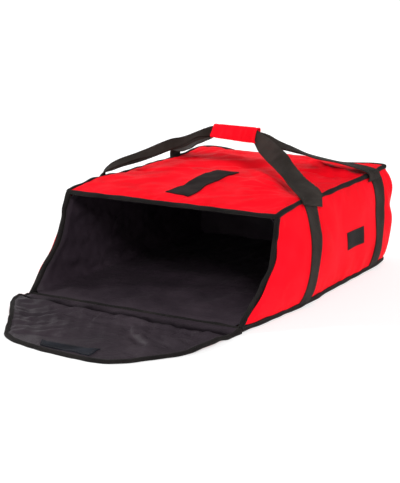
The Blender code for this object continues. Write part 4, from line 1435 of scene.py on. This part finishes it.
def stitch_nodes():
    """Node tree that lays a length of thread at every pitch along its seams."""
    tree = bpy.data.node_groups.new("stitches", "GeometryNodeTree")
    tree.interface.new_socket("Seams", in_out="INPUT", socket_type="NodeSocketGeometry")
    for name, kind, _ in STITCH_INPUTS:
        tree.interface.new_socket(name, in_out="INPUT", socket_type=kind)
    tree.interface.new_socket("Stitches", in_out="OUTPUT", socket_type="NodeSocketGeometry")

    def node(kind, inputs=None, **settings):
        return add_node(tree, kind, inputs, **settings)

    given = node("NodeGroupInput").outputs
    line = node("GeometryNodeMeshToCurve", {"Mesh": given["Seams"]})
    places = node("GeometryNodeResampleCurve", {"Curve": line.outputs[0], "Length": given["Pitch"]}, mode="LENGTH")
    outward = node("GeometryNodeInputNamedAttribute", {"Name": "outward"}, data_type="FLOAT_VECTOR")
    facings = {0: node("GeometryNodeInputTangent").outputs[0], 1: outward.outputs["Attribute"]}
    turn = node("FunctionNodeAxesToRotation", facings, primary_axis="X", secondary_axis="Z")
    bead = node("GeometryNodeMeshUVSphere", {"Segments": 6, "Rings": 4, "Radius": 0.5})
    width, length = given["Thread Width"], given["Stitch Length"]
    size = node("ShaderNodeCombineXYZ", {"X": width, "Y": width, "Z": length}).outputs[0]
    level = (0.0, math.pi / 2, 0.0)
    thread = node("GeometryNodeTransform", {"Geometry": bead.outputs["Mesh"], "Rotation": level, "Scale": size})
    spread = {"Min_001": given["Shortest"], "Max_001": given["Longest"], "Seed": given["Seed"]}
    uneven = node("FunctionNodeRandomValue", spread, data_type="FLOAT")
    scale = next(item for item in uneven.outputs if item.identifier == "Value_001")
    laid = node("GeometryNodeInstanceOnPoints", {
        "Points": places.outputs[0], "Instance": thread.outputs[0], "Rotation": turn.outputs[0], "Scale": scale,
    })
    solid = node("GeometryNodeRealizeInstances", {"Geometry": laid.outputs[0]})
    dyed = node("GeometryNodeSetMaterial", {"Geometry": solid.outputs[0], "Material": given["Thread"]})
    round_off = node("GeometryNodeSetShadeSmooth", {"Geometry": dyed.outputs[0]})
    node("NodeGroupOutput", {0: round_off.outputs[0]})
    return tree


def sew(name, seams, thread):
    """One mesh of stitches along a list of seams."""
    points, outs, edges = [], [], []
    for line, out, closed in seams:
        start = len(points)
        out = out / np.linalg.norm(out, axis=1, keepdims=True)
        points.extend((line + out * 0.00005).tolist())
        outs.extend(out.tolist())
        edges.extend((start + spot, start + spot + 1) for spot in range(len(line) - 1))
        if closed:
            edges.append((start + len(line) - 1, start))
    mesh = bpy.data.meshes.new(name)
    mesh.from_pydata(points, edges, [])
    outward = mesh.attributes.new("outward", "FLOAT_VECTOR", "POINT")
    outward.data.foreach_set("vector", np.array(outs, np.float32).ravel())
    piece = placed(name, mesh)
    laid = piece.modifiers.new("stitches", "NODES")
    laid.node_group = STITCHES
    values = {given: value for given, _, value in STITCH_INPUTS}
    for item in STITCHES.interface.items_tree:
        if item.in_out == "INPUT" and item.name in values:
            laid[item.identifier] = thread if item.name == "Thread" else values[item.name]
    sewn = bpy.data.meshes.new_from_object(piece.evaluated_get(bpy.context.evaluated_depsgraph_get()))
    piece.modifiers.clear()
    piece.data = sewn
    while sewn.materials[0] is None:
        sewn.materials.pop(index=0)
    if "outward" in sewn.attributes:
        sewn.attributes.remove(sewn.attributes["outward"])
    return piece


# Points round one ring of a binding, of a side's webbing and of a sleeve half
TAPE_POINTS = 20
STRAP_POINTS = 26
SLEEVE_POINTS = 52


def piece_rings(piece, size):
    """The points of a piece, ring by ring."""
    return np.array([tuple(vert.co) for vert in piece.data.vertices]).reshape(-1, size, 3)


def along_ring(piece, size, spot, across, closed=False, skip=0):
    """Seam through one place of every ring of a piece, facing away from the place across."""
    rings = piece_rings(piece, size)
    rings = rings[skip:len(rings) - skip]
    return rings[:, spot], rings[:, spot] - rings[:, across], closed


STITCHES = stitch_nodes()
inner = (slice(1, -1), slice(1, -1))
SEAM_MARGIN = 0.012
crease_line = []
for x in np.linspace(-0.195, 0.195, 80):
    y = HINGE_Y - float(knotted(x, FLAP_CREASE))
    if all(FLAP_TREE.ray_cast(Vector((x + off, y, 0.1)), DOWN)[0] for off in (-SEAM_MARGIN, SEAM_MARGIN)):
        crease_line.append(on_flap((x, y), 0.0001))
bag_seams = [
    along_ring(rim_tape, TAPE_POINTS, 11, 1, True),
    along_ring(rim_tape, TAPE_POINTS, 3, 13, True),
    along_ring(base_tape, TAPE_POINTS, 6, 16, True),
    border(loop_points, inner, facing(loop_points)),
    border(patch_grid, inner, facing(patch_grid)),
    *hem_seams,
]
for tape in mouth_tapes:
    bag_seams += [along_ring(tape, TAPE_POINTS, 8, 18), along_ring(tape, TAPE_POINTS, 1, 11)]
for piece in side_straps.values():
    bag_seams += [along_ring(piece, STRAP_POINTS, 1, 24, skip=2), along_ring(piece, STRAP_POINTS, 11, 14, skip=2)]
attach(sew("bag_stitches", bag_seams, BLACK_THREAD), "bag")
root_seams = [along_ring(tape, TAPE_POINTS, 8, 18) for tape in root_tapes]
bend_piece(sew("flap_root_stitches", root_seams, BLACK_THREAD), "root")
crease_line = np.array(crease_line)
main_seams = [along_ring(round_tape, TAPE_POINTS, 8, 18), (crease_line, crease_line * 0 + (0.0, 0.0, 1.0), False)]
bend_piece(sew("flap_stitches", main_seams, BLACK_THREAD), "main")
hook_seams = [border(hook_points, inner, facing(hook_points))]
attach(sew("hook_stitches", hook_seams, BLACK_THREAD), "flap_tip")
for piece, body in ((sleeve_rear, "grip"), (sleeve_front, "grip_front")):
    rings = piece_rings(piece, SLEEVE_POINTS)
    ends = [(ring[4:22], (ring[4:22] - ring[47:29:-1]), False) for ring in (rings[3], rings[-4])]
    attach(sew(f"{body}_stitches", ends, RED_THREAD), body)


# Floor, light and camera

FLOOR_HALF = 14.0
# The sky's grey at two heights of its ramp
SKY = ((0.22, 1.0), (0.55, 0.3))
# Each lamp: where it shines from, its strength, and its spread in degrees
LAMPS = (
    ("right lamp", (2.6, -2.6, 2.6), 1.7, 20.0),
    ("left lamp", (-2.6, -0.4, 1.35), 1.7, 14.0),
    ("back lamp", (0.5, 1.6, 3.4), 0.45, 30.0),
)
# Azimuth, elevation and roll in degrees
CAMERA_ANGLES = (30.361, 12.787, 0.303)
CAMERA_PLACE = (1.2067, -2.1219, 0.6223)
CAMERA_LENS = 102.02


def studio():
    """A pale floor, soft lamps and the camera at the photograph's place."""
    pale = Finish("pale floor", 0.8, 0.0, 0.2)
    pale.colours(pale.noise(2.0), ((0.2, (0.6, 0.6, 0.6)), (0.8, (0.63, 0.63, 0.63))))
    pale.shader.inputs["Emission Color"].default_value = (1.0, 1.0, 1.0, 1.0)
    pale.shader.inputs["Emission Strength"].default_value = 0.5
    mesh = bpy.data.meshes.new("floor")
    corners = ((-1, -1), (1, -1), (1, 1), (-1, 1))
    mesh.from_pydata([(x * FLOOR_HALF, y * FLOOR_HALF, 0) for x, y in corners], [], [(0, 1, 2, 3)])
    mesh.materials.append(pale.material)
    placed("floor", mesh)
    world = bpy.data.worlds.new("studio")
    bpy.context.scene.world = world
    world.use_nodes = True
    tree = world.node_tree
    place = add_node(tree, "ShaderNodeTexCoord").outputs["Generated"]
    split = add_node(tree, "ShaderNodeSeparateXYZ", {0: place})
    ramp = add_node(tree, "ShaderNodeValToRGB", {0: split.outputs[2]})
    for element, (height, grey) in zip(ramp.color_ramp.elements, SKY):
        element.position = height
        element.color = (grey, grey, grey, 1.0)
    tree.links.new(ramp.outputs[0], tree.nodes["Background"].inputs["Color"])
    tree.nodes["Background"].inputs["Strength"].default_value = 1.0
    for name, place, power, spread in LAMPS:
        lamp = bpy.data.lights.new(name, "SUN")
        lamp.energy = power
        lamp.angle = math.radians(spread)
        holder = placed(name, lamp)
        holder.location = place
        holder.rotation_euler = (-Vector(place)).to_track_quat("-Z", "Y").to_euler()
    azimuth, elevation, roll = (math.radians(angle) for angle in CAMERA_ANGLES)
    level = math.cos(elevation)
    back = Vector((math.sin(azimuth) * level, -math.cos(azimuth) * level, math.sin(elevation)))
    right = Vector((math.cos(azimuth), math.sin(azimuth), 0.0))
    up = back.cross(right)
    turned_right = right * math.cos(roll) + up * math.sin(roll)
    turned_up = up * math.cos(roll) - right * math.sin(roll)
    lens = bpy.data.cameras.new("camera")
    lens.lens = CAMERA_LENS
    lens.sensor_width = 36.0
    lens.clip_start = 0.05
    lens.clip_end = 60.0
    camera = placed("camera", lens)
    place = Matrix((turned_right, turned_up, back)).transposed().to_4x4()
    place.translation = Vector(CAMERA_PLACE)
    camera.matrix_world = place
    bpy.context.scene.camera = camera
    bpy.context.scene.view_settings.view_transform = "Standard"


studio()
